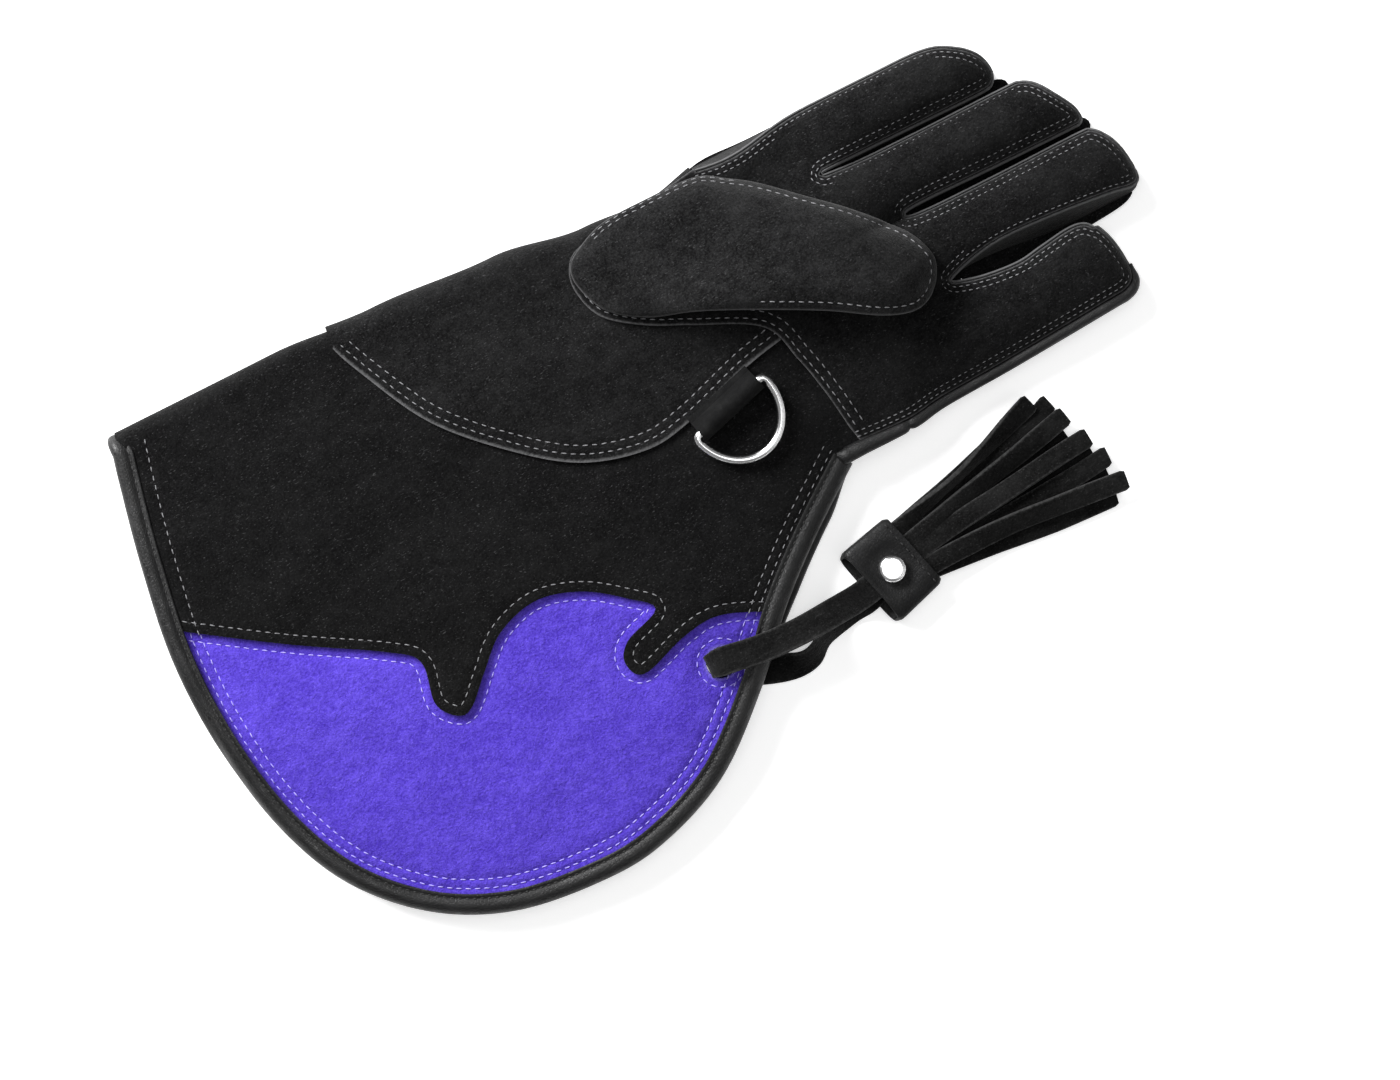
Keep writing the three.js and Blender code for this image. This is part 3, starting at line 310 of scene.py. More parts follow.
def cuff_z(x, y):
    low = np.interp(x, LOW_X, LOW_Y)
    centre = fold_centre(x)
    from_edge = np.clip((y - low) / (centre - low) / 0.55, 0, 1)
    crown = CUFF_RISE * read_table(CROWN, x / CUFF_LENGTH)
    arch = mix(PALM_PAIR + PAIR_HALF, crown, 1 - (1 - from_edge) ** 2)
    return mix(FOLD_TOP, arch, ease((centre - BEND_TAIL - y) / CUFF_DEPTH / 0.16)) + strap_lift(x, y)


def back_z(x, y):
    return BACK_BLACK + strap_lift(x, y)


def palm_z(x, y):
    along = (x - WRIST) / HAND_LENGTH
    across = (INDEX_SIDE - y) / HAND_WIDTH
    index_rise = mix(FOLD_TOP, PALM_RISE, 1 - (1 - np.clip(across / 0.4, 0, 1)) ** 2)
    little_rise = mix(SEAM_RISE, PALM_RISE, 1 - (1 - np.clip((1.01 - across) / 0.6, 0, 1)) ** 2)
    on_palm = np.minimum(index_rise, little_rise)
    on_finger = np.zeros_like(on_palm)
    tip = np.zeros_like(on_palm)
    for number, (start, end, finger_tip, high) in enumerate(FINGERS):
        here = across > (FINGERS[number - 1][1] + 0.004 if number else -9)
        within = np.clip((across - start) / (end - start), 0, 1)
        side = mix(FINGER_SIDE, FINGER_SIDE if high else SEAM_RISE, within)
        round_ = np.clip(4 * within * (1 - within), 0, 1) ** 0.8
        on_finger = np.where(here, side + (FINGER_RISE - FINGER_SIDE) * round_, on_finger)
        tip = np.where(here, finger_tip, tip)
    body = mix(on_palm, on_finger, ease((along - 0.2) / 0.22))
    to_tip = (tip * HAND_LENGTH + WRIST - x) / 16
    low = BACK_BLACK + LEATHER + 4 * GAP
    over = np.clip((y / CUFF_DEPTH + 0.44) / 0.06, 0, 1)
    on_wrist = cuff_z(x, y) + LAYER * (1 + over) + GAP
    on_hand_z = mix(low, np.maximum(low, body), dome(to_tip))
    return mix(on_wrist, on_hand_z, ease((along - 0.16) / 0.22))


print("height of the palm's middle, in mm:", palm_z(np.array([290.0]), np.array([-60.0])).round(2))


# %% [markdown]
# A glove that has been worn is never quite smooth. A few broad swells and hollows follow the hand, and a
# little smooth noise stands for the rest. It could be sculpted, or made with a Displace modifier, but as
# a function of the place it also tells the height of each row of stitches, which then lies on the leather
# everywhere.

# %% Worked leather
# Soft swells and hollows of the worn palm side: x, y, half length, half width, turn, height
SWELLS = [(262, -46, 24, 12, -0.5, 1.1), (250, -98, 34, 13, 0.12, 1.2), (196, -70, 24, 6, -0.3, -1.3),
          (236, -76, 20, 7, -0.45, -1.2), (150, -45, 34, 16, -0.3, 1.0), (100, -70, 40, 14, -0.5, -0.8),
          (60, -45, 30, 18, 0.3, 0.9), (110, -100, 38, 12, 0.1, 0.8), (40, -95, 26, 12, -0.4, -0.7),
          (232, -20, 12, 6, -0.3, -1.2), (300, -18, 22, 6, 0, 0.6), (315, -42, 22, 6, 0, 0.7),
          (320, -67, 24, 6, 0, 0.7), (305, -101, 24, 8, 0, 0.7)]
print(len(SWELLS), "swells and hollows")

# Widths of the unevenness, and another part of the noise for the fine one
BROAD, FINE, FINE_SEED = 26.0, 9.0, 8.0
QUIET = 0.3  # leather with less unevenness than this lies flat and has no swells
STILL = 12.0  # this near to a fold or a seam the leather keeps to its rule


def crumple(points, size, depth, seed=1.0):
    """Soft unevenness of worked leather, in millimetres, from smooth noise."""
    return np.array([noise.noise(Vector((p[0] / size, p[1] / size, seed))) for p in points]) * depth


def worked(points, height, wave=0.6, still=None):
    """The height of worked leather: the rule, its swells and hollows, and a little unevenness."""
    x, y = points[:, 0], points[:, 1]
    change = crumple(points, BROAD, wave) + crumple(points, FINE, wave * 0.35, FINE_SEED)
    if wave > QUIET:
        for at_x, at_y, long, wide, turn, rise in SWELLS:
            u = (x - at_x) * math.cos(turn) + (y - at_y) * math.sin(turn)
            v = (y - at_y) * math.cos(turn) - (x - at_x) * math.sin(turn)
            change = change + rise * np.exp(-(u / long) ** 2 - (v / wide) ** 2)
    if still is not None:
        change = change * ease(near(points, [still], STILL) / STILL)
    return height(x, y) + change


# %% [markdown]
# A panel is cut flat. The constrained Delaunay call of mathutils fills an outline with triangles and
# keeps every edge and every seam line as edges of the mesh, so a groove can follow a row of stitches. The
# flat mesh is then lifted to its heights and given its thickness, with the cut edge rolled a little and
# marked in an attribute.

# %% Cutting and thickening leather
def cut(lines, keep, spacing):
    """A flat mesh through the lines, filled at the spacing, with the triangles that keep accepts."""
    points, edges = [], []
    for line in lines:
        first = len(points)
        points += [tuple(p) for p in line]
        edges += [(first + i, first + i + 1) for i in range(len(line) - 1)]
    low, high = np.min(points, axis=0), np.max(points, axis=0)
    xs = np.arange(low[0], high[0], spacing)
    ys = np.arange(low[1], high[1], spacing * 0.87)
    fill = np.array([(x + (j % 2) * spacing / 2, y) for j, y in enumerate(ys) for x in xs])
    fill = fill[keep(fill)]
    fill = fill[near(fill, lines) > spacing * 0.5]
    points += [tuple(p) for p in fill]
    verts, _, faces, *_ = delaunay_2d_cdt([Vector(p) for p in points], edges, [], 0, 1e-4)
    verts = np.array([tuple(v) for v in verts])
    faces = np.array(faces)
    a, b, c = verts[faces[:, 0]], verts[faces[:, 1]], verts[faces[:, 2]]
    area = (b[:, 0] - a[:, 0]) * (c[:, 1] - a[:, 1]) - (b[:, 1] - a[:, 1]) * (c[:, 0] - a[:, 0])
    faces[area < 0] = faces[area < 0][:, ::-1]
    faces = faces[(np.abs(area) > 1e-4) & keep((a + b + c) / 3)]
    used = np.unique(faces)
    renumber = np.zeros(len(verts), int)
    renumber[used] = np.arange(len(used))
    return verts[used], renumber[faces]


def weld(sheets, reach=0.04):
    """Several surfaces as one, with their common points joined."""
    points = np.vstack([p for p, _ in sheets])
    start = np.cumsum([0] + [len(p) for p, _ in sheets[:-1]])
    faces = np.vstack([f + s for (_, f), s in zip(sheets, start)])
    tree = kdtree.KDTree(len(points))
    for i, p in enumerate(points):
        tree.insert(p, i)
    tree.balance()
    first = np.array([min(i for _, i, _ in tree.find_range(p, reach)) for p in points])
    used, back = np.unique(first, return_inverse=True)
    faces = back.reshape(-1)[faces]
    flat = (faces[:, 0] == faces[:, 1]) | (faces[:, 1] == faces[:, 2]) | (faces[:, 0] == faces[:, 2])
    return points[used], faces[~flat]


square = np.array([[0, 0], [20, 0], [20, 20], [0, 20], [0, 0]], float)
print("a 20 mm square cut at 5 mm:", len(cut([square], lambda p: inside(square, p), 5.0)[1]), "triangles")


# %% [markdown]
# Leather gets its thickness from its middle outwards, so two layers lie on each other where their heights
# say. The Solidify modifier could do this too. Here the wall is made by hand, because the face side also
# rolls down along a cut edge, and a mark on the points tells the material where the pale fibres show.

# %% Thickness
def vertex_normals(points, faces):
    a, b, c = points[faces[:, 0]], points[faces[:, 1]], points[faces[:, 2]]
    face_normals = np.cross(b - a, c - a)
    out = np.zeros_like(points)
    for i in range(3):
        np.add.at(out, faces[:, i], face_normals)
    return out / np.maximum(np.linalg.norm(out, axis=1), 1e-9)[:, None]


def shell(face_side, flesh_side, faces):
    """A closed wall between two sheets that have the same triangles."""
    count = len(face_side)
    directed = {(a, b) for f in faces.tolist() for a, b in ((f[0], f[1]), (f[1], f[2]), (f[2], f[0]))}
    walls = [(a, a + count, b + count, b) for a, b in sorted(directed) if (b, a) not in directed]
    return np.vstack([face_side, flesh_side]), faces.tolist() + (faces[:, ::-1] + count).tolist() + walls


EDGE_ROLL = 0.45


def thicken(points, faces, edge=None, roll=EDGE_ROLL):
    """A wall round a surface: its middle stays, and the face side rolls down at the cut edge."""
    edge = np.zeros(len(points)) if edge is None else edge
    normals = vertex_normals(points, faces)
    face_side = points + normals * (LEATHER / 2 - roll * edge)[:, None]
    flesh_side = points - normals * LEATHER / 2
    return *shell(face_side, flesh_side, faces), np.concatenate([edge, edge])


print("leather is", LEATHER, "mm thick, and its cut edge rolls down by", EDGE_ROLL, "mm")


# %% [markdown]
# Every piece ends the same way: its points go from design millimetres into the model's frame, its faces
# are turned outwards, it gets a material, it is tied to its body, and the measured piece that it
# replaces is hidden. One function for each of the two steps keeps that in one place.

# %% Finished pieces
def linked(name, data):
    """An object in the scene for a mesh, a light or a camera."""
    obj = bpy.data.objects.new(name, data)
    bpy.context.scene.collection.objects.link(obj)
    return obj


def piece(name, points, faces, material, edge=None, sharp=50):
    """A finished mesh in the model's frame, from points in design millimetres, its faces outwards."""
    mesh = bpy.data.meshes.new(name)
    mesh.from_pydata(((np.asarray(points) + SHIFT) * MM).tolist(), [], [list(map(int, f)) for f in faces])
    if edge is not None:
        layer = mesh.attributes.new("cut_edge", "FLOAT", "POINT")
        layer.data.foreach_set("value", np.asarray(edge, np.float32))
    bm = bmesh.new()
    bm.from_mesh(mesh)
    bmesh.ops.recalc_face_normals(bm, faces=bm.faces)
    bm.to_mesh(mesh)
    bm.free()
    mesh.materials.append(material)
    mesh.polygons.foreach_set("use_smooth", [True] * len(mesh.polygons))
    mesh.set_sharp_from_angle(angle=math.radians(sharp))
    return linked(name, mesh)


def finish_piece(obj, nodes, body="glove"):
    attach(obj, body)
    if nodes:
        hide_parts(*nodes)
    print(obj.name, len(obj.data.polygons), "faces")


# %% [markdown]
# Shader sums read best as sums, so a small class wraps a socket and overloads the operators. Every other
# node comes from one method that takes its type, its settings and the values or links of its sockets.

# %% Materials as expressions
class Wire:
    """A node's output that can be added, subtracted and multiplied."""

    def __init__(self, shader, socket):
        self.shader, self.socket = shader, socket

    def _math(self, operation, *values):
        return self.shader.add("ShaderNodeMath", {"operation": operation}, dict(enumerate(values)))

    def __add__(self, other):
        return self._math("ADD", self, other)

    def __sub__(self, other):
        return self._math("SUBTRACT", self, other)

    def __mul__(self, other):
        return self._math("MULTIPLY", self, other)

    def __rsub__(self, other):
        return self._math("SUBTRACT", other, self)

    __radd__ = __add__
    __rmul__ = __mul__


class Shader:
    """One material's node tree."""

    def __init__(self, name):
        self.material = bpy.data.materials.new(name)
        self.material.use_nodes = True
        self.nodes = self.material.node_tree.nodes
        self.links = self.material.node_tree.links
        self.surface = self.nodes["Principled BSDF"]

    def feed(self, socket, value):
        if isinstance(value, Wire):
            self.links.new(value.socket, socket)
        else:
            socket.default_value = value

    def add(self, kind, settings=None, inputs=None, output=0):
        node = self.nodes.new(kind)
        for key, value in (settings or {}).items():
            setattr(node, key, value)
        for key, value in (inputs or {}).items():
            self.feed(node.inputs[key], value)
        return Wire(self, node.outputs[output])

    def set(self, **inputs):
        for key, value in inputs.items():
            self.feed(self.surface.inputs[key.replace("_", " ")], value)
        return self

    def place(self):
        return self.add("ShaderNodeTexCoord", output=3)

    def noise(self, scale, detail=4.0, rough=0.6, stretch=None):
        place = self.place()
        if stretch:
            place = self.add("ShaderNodeMapping", None, {"Vector": place, "Scale": stretch})
        return self.add("ShaderNodeTexNoise", None, {
            "Vector": place, "Scale": scale, "Detail": detail, "Roughness": rough})

    def blend(self, factor, a, b):
        a, b = [(*colour, 1) if isinstance(colour, tuple) else colour for colour in (a, b)]
        return self.add("ShaderNodeMix", {"data_type": "RGBA"}, {0: factor, 6: a, 7: b}, output=2)

    def remap(self, wire, low, high, to_low=0.0, to_high=1.0):
        return self.add("ShaderNodeMapRange", {"interpolation_type": "SMOOTHSTEP"}, {
            0: wire, 1: low, 2: high, 3: to_low, 4: to_high})

    def bump(self, height, distance, strength=1.0):
        return self.add("ShaderNodeBump", None, {
            "Height": height, "Distance": distance, "Strength": strength})


# %% [markdown]
# Suede is the flesh side of the hide, sanded to a nap. Strokes of a hand leave lighter and darker patches
# a few centimetres across, the nap itself is grain under half a millimetre, and single pale fibres catch
# light. Where it is cut, the pale inner fibres show.

# %% Suede
# How fine each pattern is: marks of the hand, mottle, nap, single fibres, frayed edge
MARKS, MOTTLE, NAP, FIBRES, FRAY = 42.0, 240.0, 1300.0, 950.0, 800.0


def suede(name, dark, light, cut_colour, fibre=0.5, sheen=0.08, strokes=0.5):
    s = Shader(name)
    hand_marks = s.remap(s.noise(MARKS, 4, 0.6, (1, 1.7, 1)), 0.38, 0.68) * strokes
    mottle = s.remap(s.noise(MOTTLE, 4, 0.65), 0.4, 0.66) * 0.24
    nap = s.noise(NAP, 3, 0.75)
    colour = s.blend(hand_marks + mottle + s.remap(nap, 0.36, 0.68) * 0.56, dark, light)
    fibres = s.remap(s.noise(FIBRES, 2, 0.5, (1, 2.6, 1)), 0.62, 0.74) * fibre
    colour = s.blend(fibres, colour, cut_colour)
    cut_edge = s.add("ShaderNodeAttribute", {"attribute_name": "cut_edge"}, output=2)
    frayed = s.remap(cut_edge + (s.noise(FRAY, 3) - 0.5) * 0.6, 0.35, 1.0)
    colour = s.blend(frayed, colour, cut_colour)
    height = nap * 0.6 + s.noise(FRAY, 3) * 0.5 + mottle * 1.2
    s.set(Base_Color=colour, Roughness=0.95, Sheen_Weight=sheen, Sheen_Roughness=0.5,
          Specular_IOR_Level=0.04, Normal=s.bump(height, 0.0005, 1.0))
    return s.material


def black_suede_painted_light_level(name, light):
    """Black suede at a set tone: painted light on the thumb, painted shade on the cuff."""
    return suede(name, (0.001, 0.001, 0.0011), (light, light, light * 1.02), (0.095, 0.095, 0.097), 0.36,
                 strokes=0.26)


# The flames' violet in shade, in light and on single fibres
FLAME_DARK, FLAME_LIGHT, FLAME_FIBRE = (0.05, 0.025, 0.345), (0.124, 0.078, 0.625), (0.2, 0.155, 0.68)
# Three tones of one black suede: the cuff's darker copy is painted shade, the thumb's lighter one painted
# light
black_suede = black_suede_painted_light_level("black_suede", 0.0138)
cuff_painted_shade_suede = black_suede_painted_light_level("black_suede_cuff_painted_shade", 0.0088)
thumb_painted_light_suede = black_suede_painted_light_level("black_suede_thumb_painted_light", 0.0205)
purple_suede = suede("purple_suede", FLAME_DARK, FLAME_LIGHT, FLAME_FIBRE, 0.4, sheen=0.04, strokes=0.18)
strap_suede = suede("strap_suede", (0.001, 0.001, 0.001), (0.0105, 0.0105, 0.0105), (0.06, 0.06, 0.06), 0.4)
print("suede:", black_suede.name, purple_suede.name, strap_suede.name)


# %% [markdown]
# The bindings, the piping, the keeper and the sleeve are smooth leather: a grain of small flat cells, a
# satin finish that breaks the light, and faint wear.

# %% Smooth leather and thread
def smooth_leather(name, base, worn, rough=0.44, shine=0.36):
    s = Shader(name)
    cells = s.add("ShaderNodeTexVoronoi", {"feature": "DISTANCE_TO_EDGE"}, {
        "Vector": s.place(), "Scale": 900.0})
    wear = s.remap(s.noise(160.0, 4), 0.45, 0.75)
    grain = s.remap(cells, 0.0, 0.12) * 0.6 + s.noise(700.0) * 0.5
    s.set(Base_Color=s.blend(wear * 0.6, base, worn), Specular_IOR_Level=shine,
          Roughness=s.remap(s.noise(260.0), 0.3, 0.7, rough - 0.06, rough + 0.12),
          Normal=s.bump(grain, 0.00016, 0.6))
    return s.material


def thread(name, colour, dark):
    s = Shader(name)
    twist = s.remap(s.noise(2400.0, 1, 0.5), 0.35, 0.65)
    s.set(Base_Color=s.blend(twist, dark, colour), Roughness=0.6, Normal=s.bump(twist, 0.0001, 0.6))
    return s.material


binding_leather = smooth_leather("binding_leather", (0.004, 0.004, 0.0042), (0.014, 0.014, 0.0145))
sleeve_leather = smooth_leather("sleeve_leather", (0.003, 0.003, 0.0032), (0.009, 0.009, 0.0095), 0.5, 0.2)
keeper_leather = smooth_leather("keeper_leather", (0.004, 0.004, 0.0042), (0.012, 0.012, 0.012), 0.8, 0.12)
grey_thread = thread("grey_thread", (0.25, 0.25, 0.26), (0.12, 0.12, 0.125))
lilac_thread = thread("lilac_thread", (0.46, 0.4, 0.86), (0.3, 0.25, 0.8))
dark_thread = thread("dark_thread", (0.02, 0.02, 0.02), (0.008, 0.008, 0.008))


def nickel_plate():
    s = Shader("nickel")
    scuffs = s.remap(s.noise(420.0, 4), 0.4, 0.75)
    s.set(Base_Color=s.blend(scuffs, (0.95, 0.95, 0.955), (0.9, 0.9, 0.91)), Metallic=1.0,
          Roughness=s.remap(scuffs, 0, 1, 0.2, 0.27))
    return s.material


nickel = nickel_plate()
print("smooth finishes:", binding_leather.name, grey_thread.name, lilac_thread.name, nickel.name)

# %% [markdown]
# Rows of stitches are kept in four lists, one for each kind of thread. A row is a line of points that
# already lies on the leather; the thread is laid on all rows at once, later, by one Geometry Nodes tree.

# %% Rows of stitches
rows = {"grey": [], "fine": [], "lilac": [], "dark": []}
GROOVE, SINK = 0.42, 0.3


def sew(colour, line, height, under=False, **how):
    """Adds a row that follows a flat line, sunk a little in its groove."""
    side = -1 if under else 1
    z = worked(line, height, **how) + side * (LEATHER / 2 - SINK)
    rows[colour].append(np.column_stack([line, z]))


def clip_line(line, keep):
    """The longest stretch of a line whose points keep accepts."""
    good = keep(line)
    best, start = (0, 0), None
    for i, ok in enumerate(list(good) + [False]):
        if ok and start is None:
            start = i
        if not ok and start is not None:
            if i - start > best[1] - best[0]:
                best = (start, i)
            start = None
    return line[best[0]:best[1]]


def groove(points, lines, depth=GROOVE, width=0.7):
    """How deep the thread pulls the leather in, near its rows."""
    return depth * np.exp(-(near(points, lines, CLOSE) / width) ** 2)


def inset(line, distance):
    """A parallel curve inside a run round the hand, without the small loops at tight corners."""
    moved = parallel(line, -distance)
    return resample(moved[near(moved, [line]) > 0.94 * distance], 1.1)


def guides(seams, width=0.85):
    """Mesh lines on both sides of each row, so that its groove has its own faces."""
    return [parallel(row, side) for row in seams for side in (-width, 0, width)]


print("rows of", len(rows), "colours, sunk", SINK, "mm in grooves of", GROOVE, "mm")

# %% [markdown]
# The black cuff is one piece of suede: palm side, bend and back side. Both sides are cut from the same
# card, and the bend between them is a half pipe that shares its edge points with them, so the three weld
# into one wall.

# %% Outlines and rows of the cuff
panel_edge = parallel(flare, PANEL_BACKSET)
BACK_END = 0.975 * CUFF_LENGTH
cuff_end = on_cuff(CUFF_END)
mouth_x = float(panel_edge[np.argmin(np.abs(panel_edge[:, 1] - fold_centre(panel_edge[:, 0]))), 0])
stations = np.arange(math.ceil(mouth_x) + 1, 236, 2.0)
fold_line = np.column_stack([stations, fold_centre(stations)])
panel_low = panel_edge[panel_edge[:, 1] < fold_centre(panel_edge[:, 0])]
palm_outline = np.vstack([panel_low, on_cuff([[1.03, 0.553], [1.06, 0.48]]), cuff_end, fold_line[::-1]])
back_outline = np.vstack([panel_low[panel_low[:, 0] < BACK_END], [[BACK_END, panel_low[-1, 1] - 4]],
                          [[BACK_END, float(fold_centre(BACK_END))]],
                          fold_line[::-1][fold_line[::-1][:, 0] < BACK_END]])
flame_area = np.vstack([flame, on_cuff([[0.86, 1.1], [-0.12, 1.1]])])
flame_in = clip_line(flame, lambda p: inside(palm_outline, p))
hole = HOLE + circle(HOLE_DIAMETER / 2, 40)
flame_panel = on_cuff(FLAME_PANEL)


def on_black(p):
    return inside(palm_outline, p) & ~inside(flame_area, p)


def on_flame(p):
    return inside(palm_outline, p) & inside(flame_area, p)


MOUTH_ROW_END, END_ROW_FROM, END_ROW_TO = 60, 150, 223
flame_black_row = clip_line(parallel(flame, 3.4), lambda p: inside(palm_outline, p))
flame_lilac_row = clip_line(parallel(flame, -3.0), on_flame)
mouth_row = clip_line(parallel(flare, BINDING_WIDTH + 4.6), lambda p: on_black(p) & (p[:, 0] < MOUTH_ROW_END))
flare_rows = [clip_line(parallel(flare, BINDING_WIDTH + d), lambda p: inside(flame_area, p))
              for d in (1.6, 4.8)]
end_rows = [clip_line(parallel(flare, BINDING_WIDTH + d), lambda p: ~inside(flame_area, p)
                      & (p[:, 0] > END_ROW_FROM) & (p[:, 0] < END_ROW_TO)) for d in (1.2, 4.2)]
print("flame row", len(flame_black_row), "mouth row", len(mouth_row), "end rows", len(end_rows[0]))

# %% [markdown]
# The bend could be a Bevel of a sharp fold, but a half pipe gives the real radius of folded suede. Flat
# cuts are laid on their heights by one function, which turns the underside's faces down and pulls the
# leather in at its seams.

# %% Bending and laying
def bend(out, stations_x):
    """The half pipe round the thumb side, at a distance out from the black cuff's middle."""
    turns = np.linspace(-0.5 * np.pi, 0.5 * np.pi, 13)
    radius = FOLD_RADIUS + out
    points = np.array([[x, float(fold_centre(x)) + radius * math.cos(t),
                        BACK_BLACK + FOLD_RADIUS + radius * math.sin(t)] for x in stations_x for t in turns])
    n = len(turns)
    faces = []
    for i in range(len(stations_x) - 1):
        for j in range(n - 1):
            a, b, c, d = i * n + j, (i + 1) * n + j, (i + 1) * n + j + 1, i * n + j + 1
            faces += [(a, c, b), (a, d, c)]
    return points, np.array(faces)


def closed(outline):
    return np.vstack([outline, outline[:1]])


def lay(flat, height, seams=(), down=False, **how):
    """Lifts a flat cut to its worked height, pulled in at its seams."""
    points, faces = flat
    z = worked(points, height, **how)
    if len(seams):
        z = z - groove(points, seams) * (-1 if down else 1)
    return np.column_stack([points, z]), faces[:, ::-1] if down else faces


def cut_to(outline, lines, spacing, *without):
    """A flat cut inside an outline and outside others, with edges along the given lines."""
    def keep(p):
        good = inside(outline, p)
        for other in without:
            good &= ~inside(other, p)
        return good
    borders = [closed(outline)] + [line for other in without for line in (other, parallel(other, 0.7))]
    return cut(borders + list(lines), keep, spacing)


print("bend:", len(bend(0, stations)[0]), "points round the thumb side")

# %% [markdown]
# With its helpers ready, the cuff is three sheets welded into one and thickened, with both sides sewn
# alike. It replaces the measured model's faceted panel, because suede is soft and its surface is never
# flat.

# %% The cuff
cuff_seams = [flame_black_row, mouth_row] + end_rows
used = stations[stations < BACK_END]
palm_side = {"wave": 0.6, "still": fold_line}
back_side = {"wave": 0.1, "still": fold_line}
cuff_points, cuff_faces = weld([
    lay(cut_to(palm_outline, guides(cuff_seams), 2.6, flame_area), cuff_z, cuff_seams, **palm_side),
    bend(0, used),
    lay(cut_to(back_outline, guides(cuff_seams), 3.2, flame_area), back_z, cuff_seams, True, **back_side)])
cuff_edge = cut_mark(cuff_points, [flame_in], 0.7, 0.5)
points, faces, edge = thicken(cuff_points, cuff_faces, cuff_edge)
# The cuff's darker suede is painted shade
finish_piece(piece("cuff_suede", points, faces, cuff_painted_shade_suede, edge), ["cuff_panel"])
for row in cuff_seams:
    sew("grey", row, cuff_z, **palm_side)
    sew("grey", row, back_z, True, **back_side)

# %% [markdown]
# The purple flames lie a layer below the black, lapped under its cut line. Two rows in lilac thread
# follow the bound edge, and one follows the flame's line on the purple.

# %% The purple flames
flame_card = resample(closed(flame_panel), 2.0)
lilac_seams = [flame_lilac_row] + flare_rows
hole_row = HOLE + circle(HOLE_DIAMETER / 2 + 3, 60)


def purple_z(x, y):
    return cuff_z(x, y) - LAYER


def purple_back_z(x, y):
    return back_z(x, y) + LAYER


def flame_cut(outline, spacing):
    def keep(p):
        return inside(outline, p) & inside(flame_card, p) & ~inside(hole, p)
    lines = [closed(outline), flame_card, hole] + guides(lilac_seams + [hole_row])
    return cut(lines, keep, spacing)


for name, outline, height, down, how in (("palm", palm_outline, purple_z, False, palm_side),
                                         ("back", back_outline, purple_back_z, True, back_side)):
    sheet = lay(flame_cut(outline, 2.2), height, lilac_seams + [hole_row], down, **how)
    hem = cut_mark(sheet[0], [closed(hole)], 1.0)
    points, faces, edge = thicken(*sheet, hem)
    finish_piece(piece("flame_" + name, points, faces, purple_suede, edge), ["flame_panel_" + name])
    for row in lilac_seams + [hole_row]:
        sew("lilac", row, height, down, **how)

# %% [markdown]
# The second layer is one more piece of suede, cut in a curve on the palm side, turned round the thumb
# side and run on as the back of the hand and of three fingers. Its cut edge is thick and pale.

# %% Outlines of the second layer
PATCH_FROM = patch[0, 0] + LEATHER / 4
BACK_LAP = 2.4  # how far it lies under the little finger's back
BEYOND = 60  # any place past the fold
patch_end = WRIST - GAP
patch_stations = stations[(stations > PATCH_FROM) & (stations < patch_end)]
patch_fold = np.column_stack([patch_stations, fold_centre(patch_stations)])
patch_low = patch[patch[:, 1] < fold_centre(patch[:, 0])]
patch_outline = np.vstack([patch_low, on_cuff([[0.985, 0.29]]), cuff_end[3:], patch_fold[::-1]])
patch_rows = [clip_line(parallel(patch, d), lambda p: inside(patch_outline, p)) for d in (2.9, 5.9)]
back_hand = np.vstack([hand_curve, on_hand([[0, 1.01], [-0.03, 1.01]])])
back_card = np.vstack([patch_back, [[patch_back[-1, 0], CROTCH - BACK_LAP], [2 * WRIST, CROTCH - BACK_LAP],
                                   [2 * WRIST, BEYOND], [PATCH_FROM, BEYOND]]])
cuff_flat = np.vstack([patch_fold, [[patch_end, -CUFF_DEPTH], [PATCH_FROM, -CUFF_DEPTH]]])
back_rows = [clip_line(parallel(patch_back, d), lambda p: inside(cuff_flat, p)) for d in (2.9, 5.9)]
print("rows on the second layer:", [len(row) for row in patch_rows + back_rows], "points")


def patch_z(x, y):
    return cuff_z(x, y) + LAYER


def flat_z(x, y):
    return np.full(np.shape(x), BACK_OUTER)


# %% [markdown]
# Seen from above, the back of the glove shows between two fingers, so the cut follows the fingers'
# outline and adds a small web in each gap. One piece then reaches from the curved patch round the fold to
# the finger tips.

# %% The second layer
# The leather that shows between two fingers, low down at the back of the hand
WEBS = [[[0.24, 0.17], [0.76, 0.18], [0.74, 0.26], [0.24, 0.26]],
        [[0.38, 0.4], [0.9, 0.4], [0.88, 0.5], [0.38, 0.5]],
        [[0.42, 0.66], [0.6, 0.62], [0.94, 0.64], [0.975, 0.68], [0.94, 0.722], [0.8, 0.74], [0.6, 0.77],
         [0.44, 0.72]]]
webs = [smooth(on_hand(web), 1.5, closed=True) for web in WEBS]


def on_back(p):
    good = inside(back_hand, p)
    for web in webs:
        good |= inside(web, p)
    return good


def back_cut(spacing):
    def keep(p):
        return inside(back_card, p) & (on_back(p) | inside(cuff_flat, p))
    lines = [patch_back] + [closed(line) for line in (back_card, back_hand, cuff_flat, *webs)]
    return cut(lines + guides(back_rows), keep, spacing)


palm_patch = {"wave": 0.6, "still": patch_fold}
back_patch = {"wave": 0.0, "still": patch_fold}
patch_points, patch_faces = weld([
    lay(cut_to(patch_outline, guides(patch_rows), 2.2), patch_z, patch_rows, **palm_patch),
    bend(LAYER, patch_stations),
    lay(back_cut(3.0), flat_z, back_rows, True, **back_patch)])
patch_edge = cut_mark(patch_points, [patch_low], 1.5)
points, faces, edge = thicken(patch_points, patch_faces, patch_edge)
finish_piece(piece("second_layer", points, faces, black_suede, edge), ["reinforcement"])
for row in patch_rows:
    sew("grey", row, patch_z, **palm_patch)
for row in back_rows:
    sew("grey", row, flat_z, True, **back_patch)

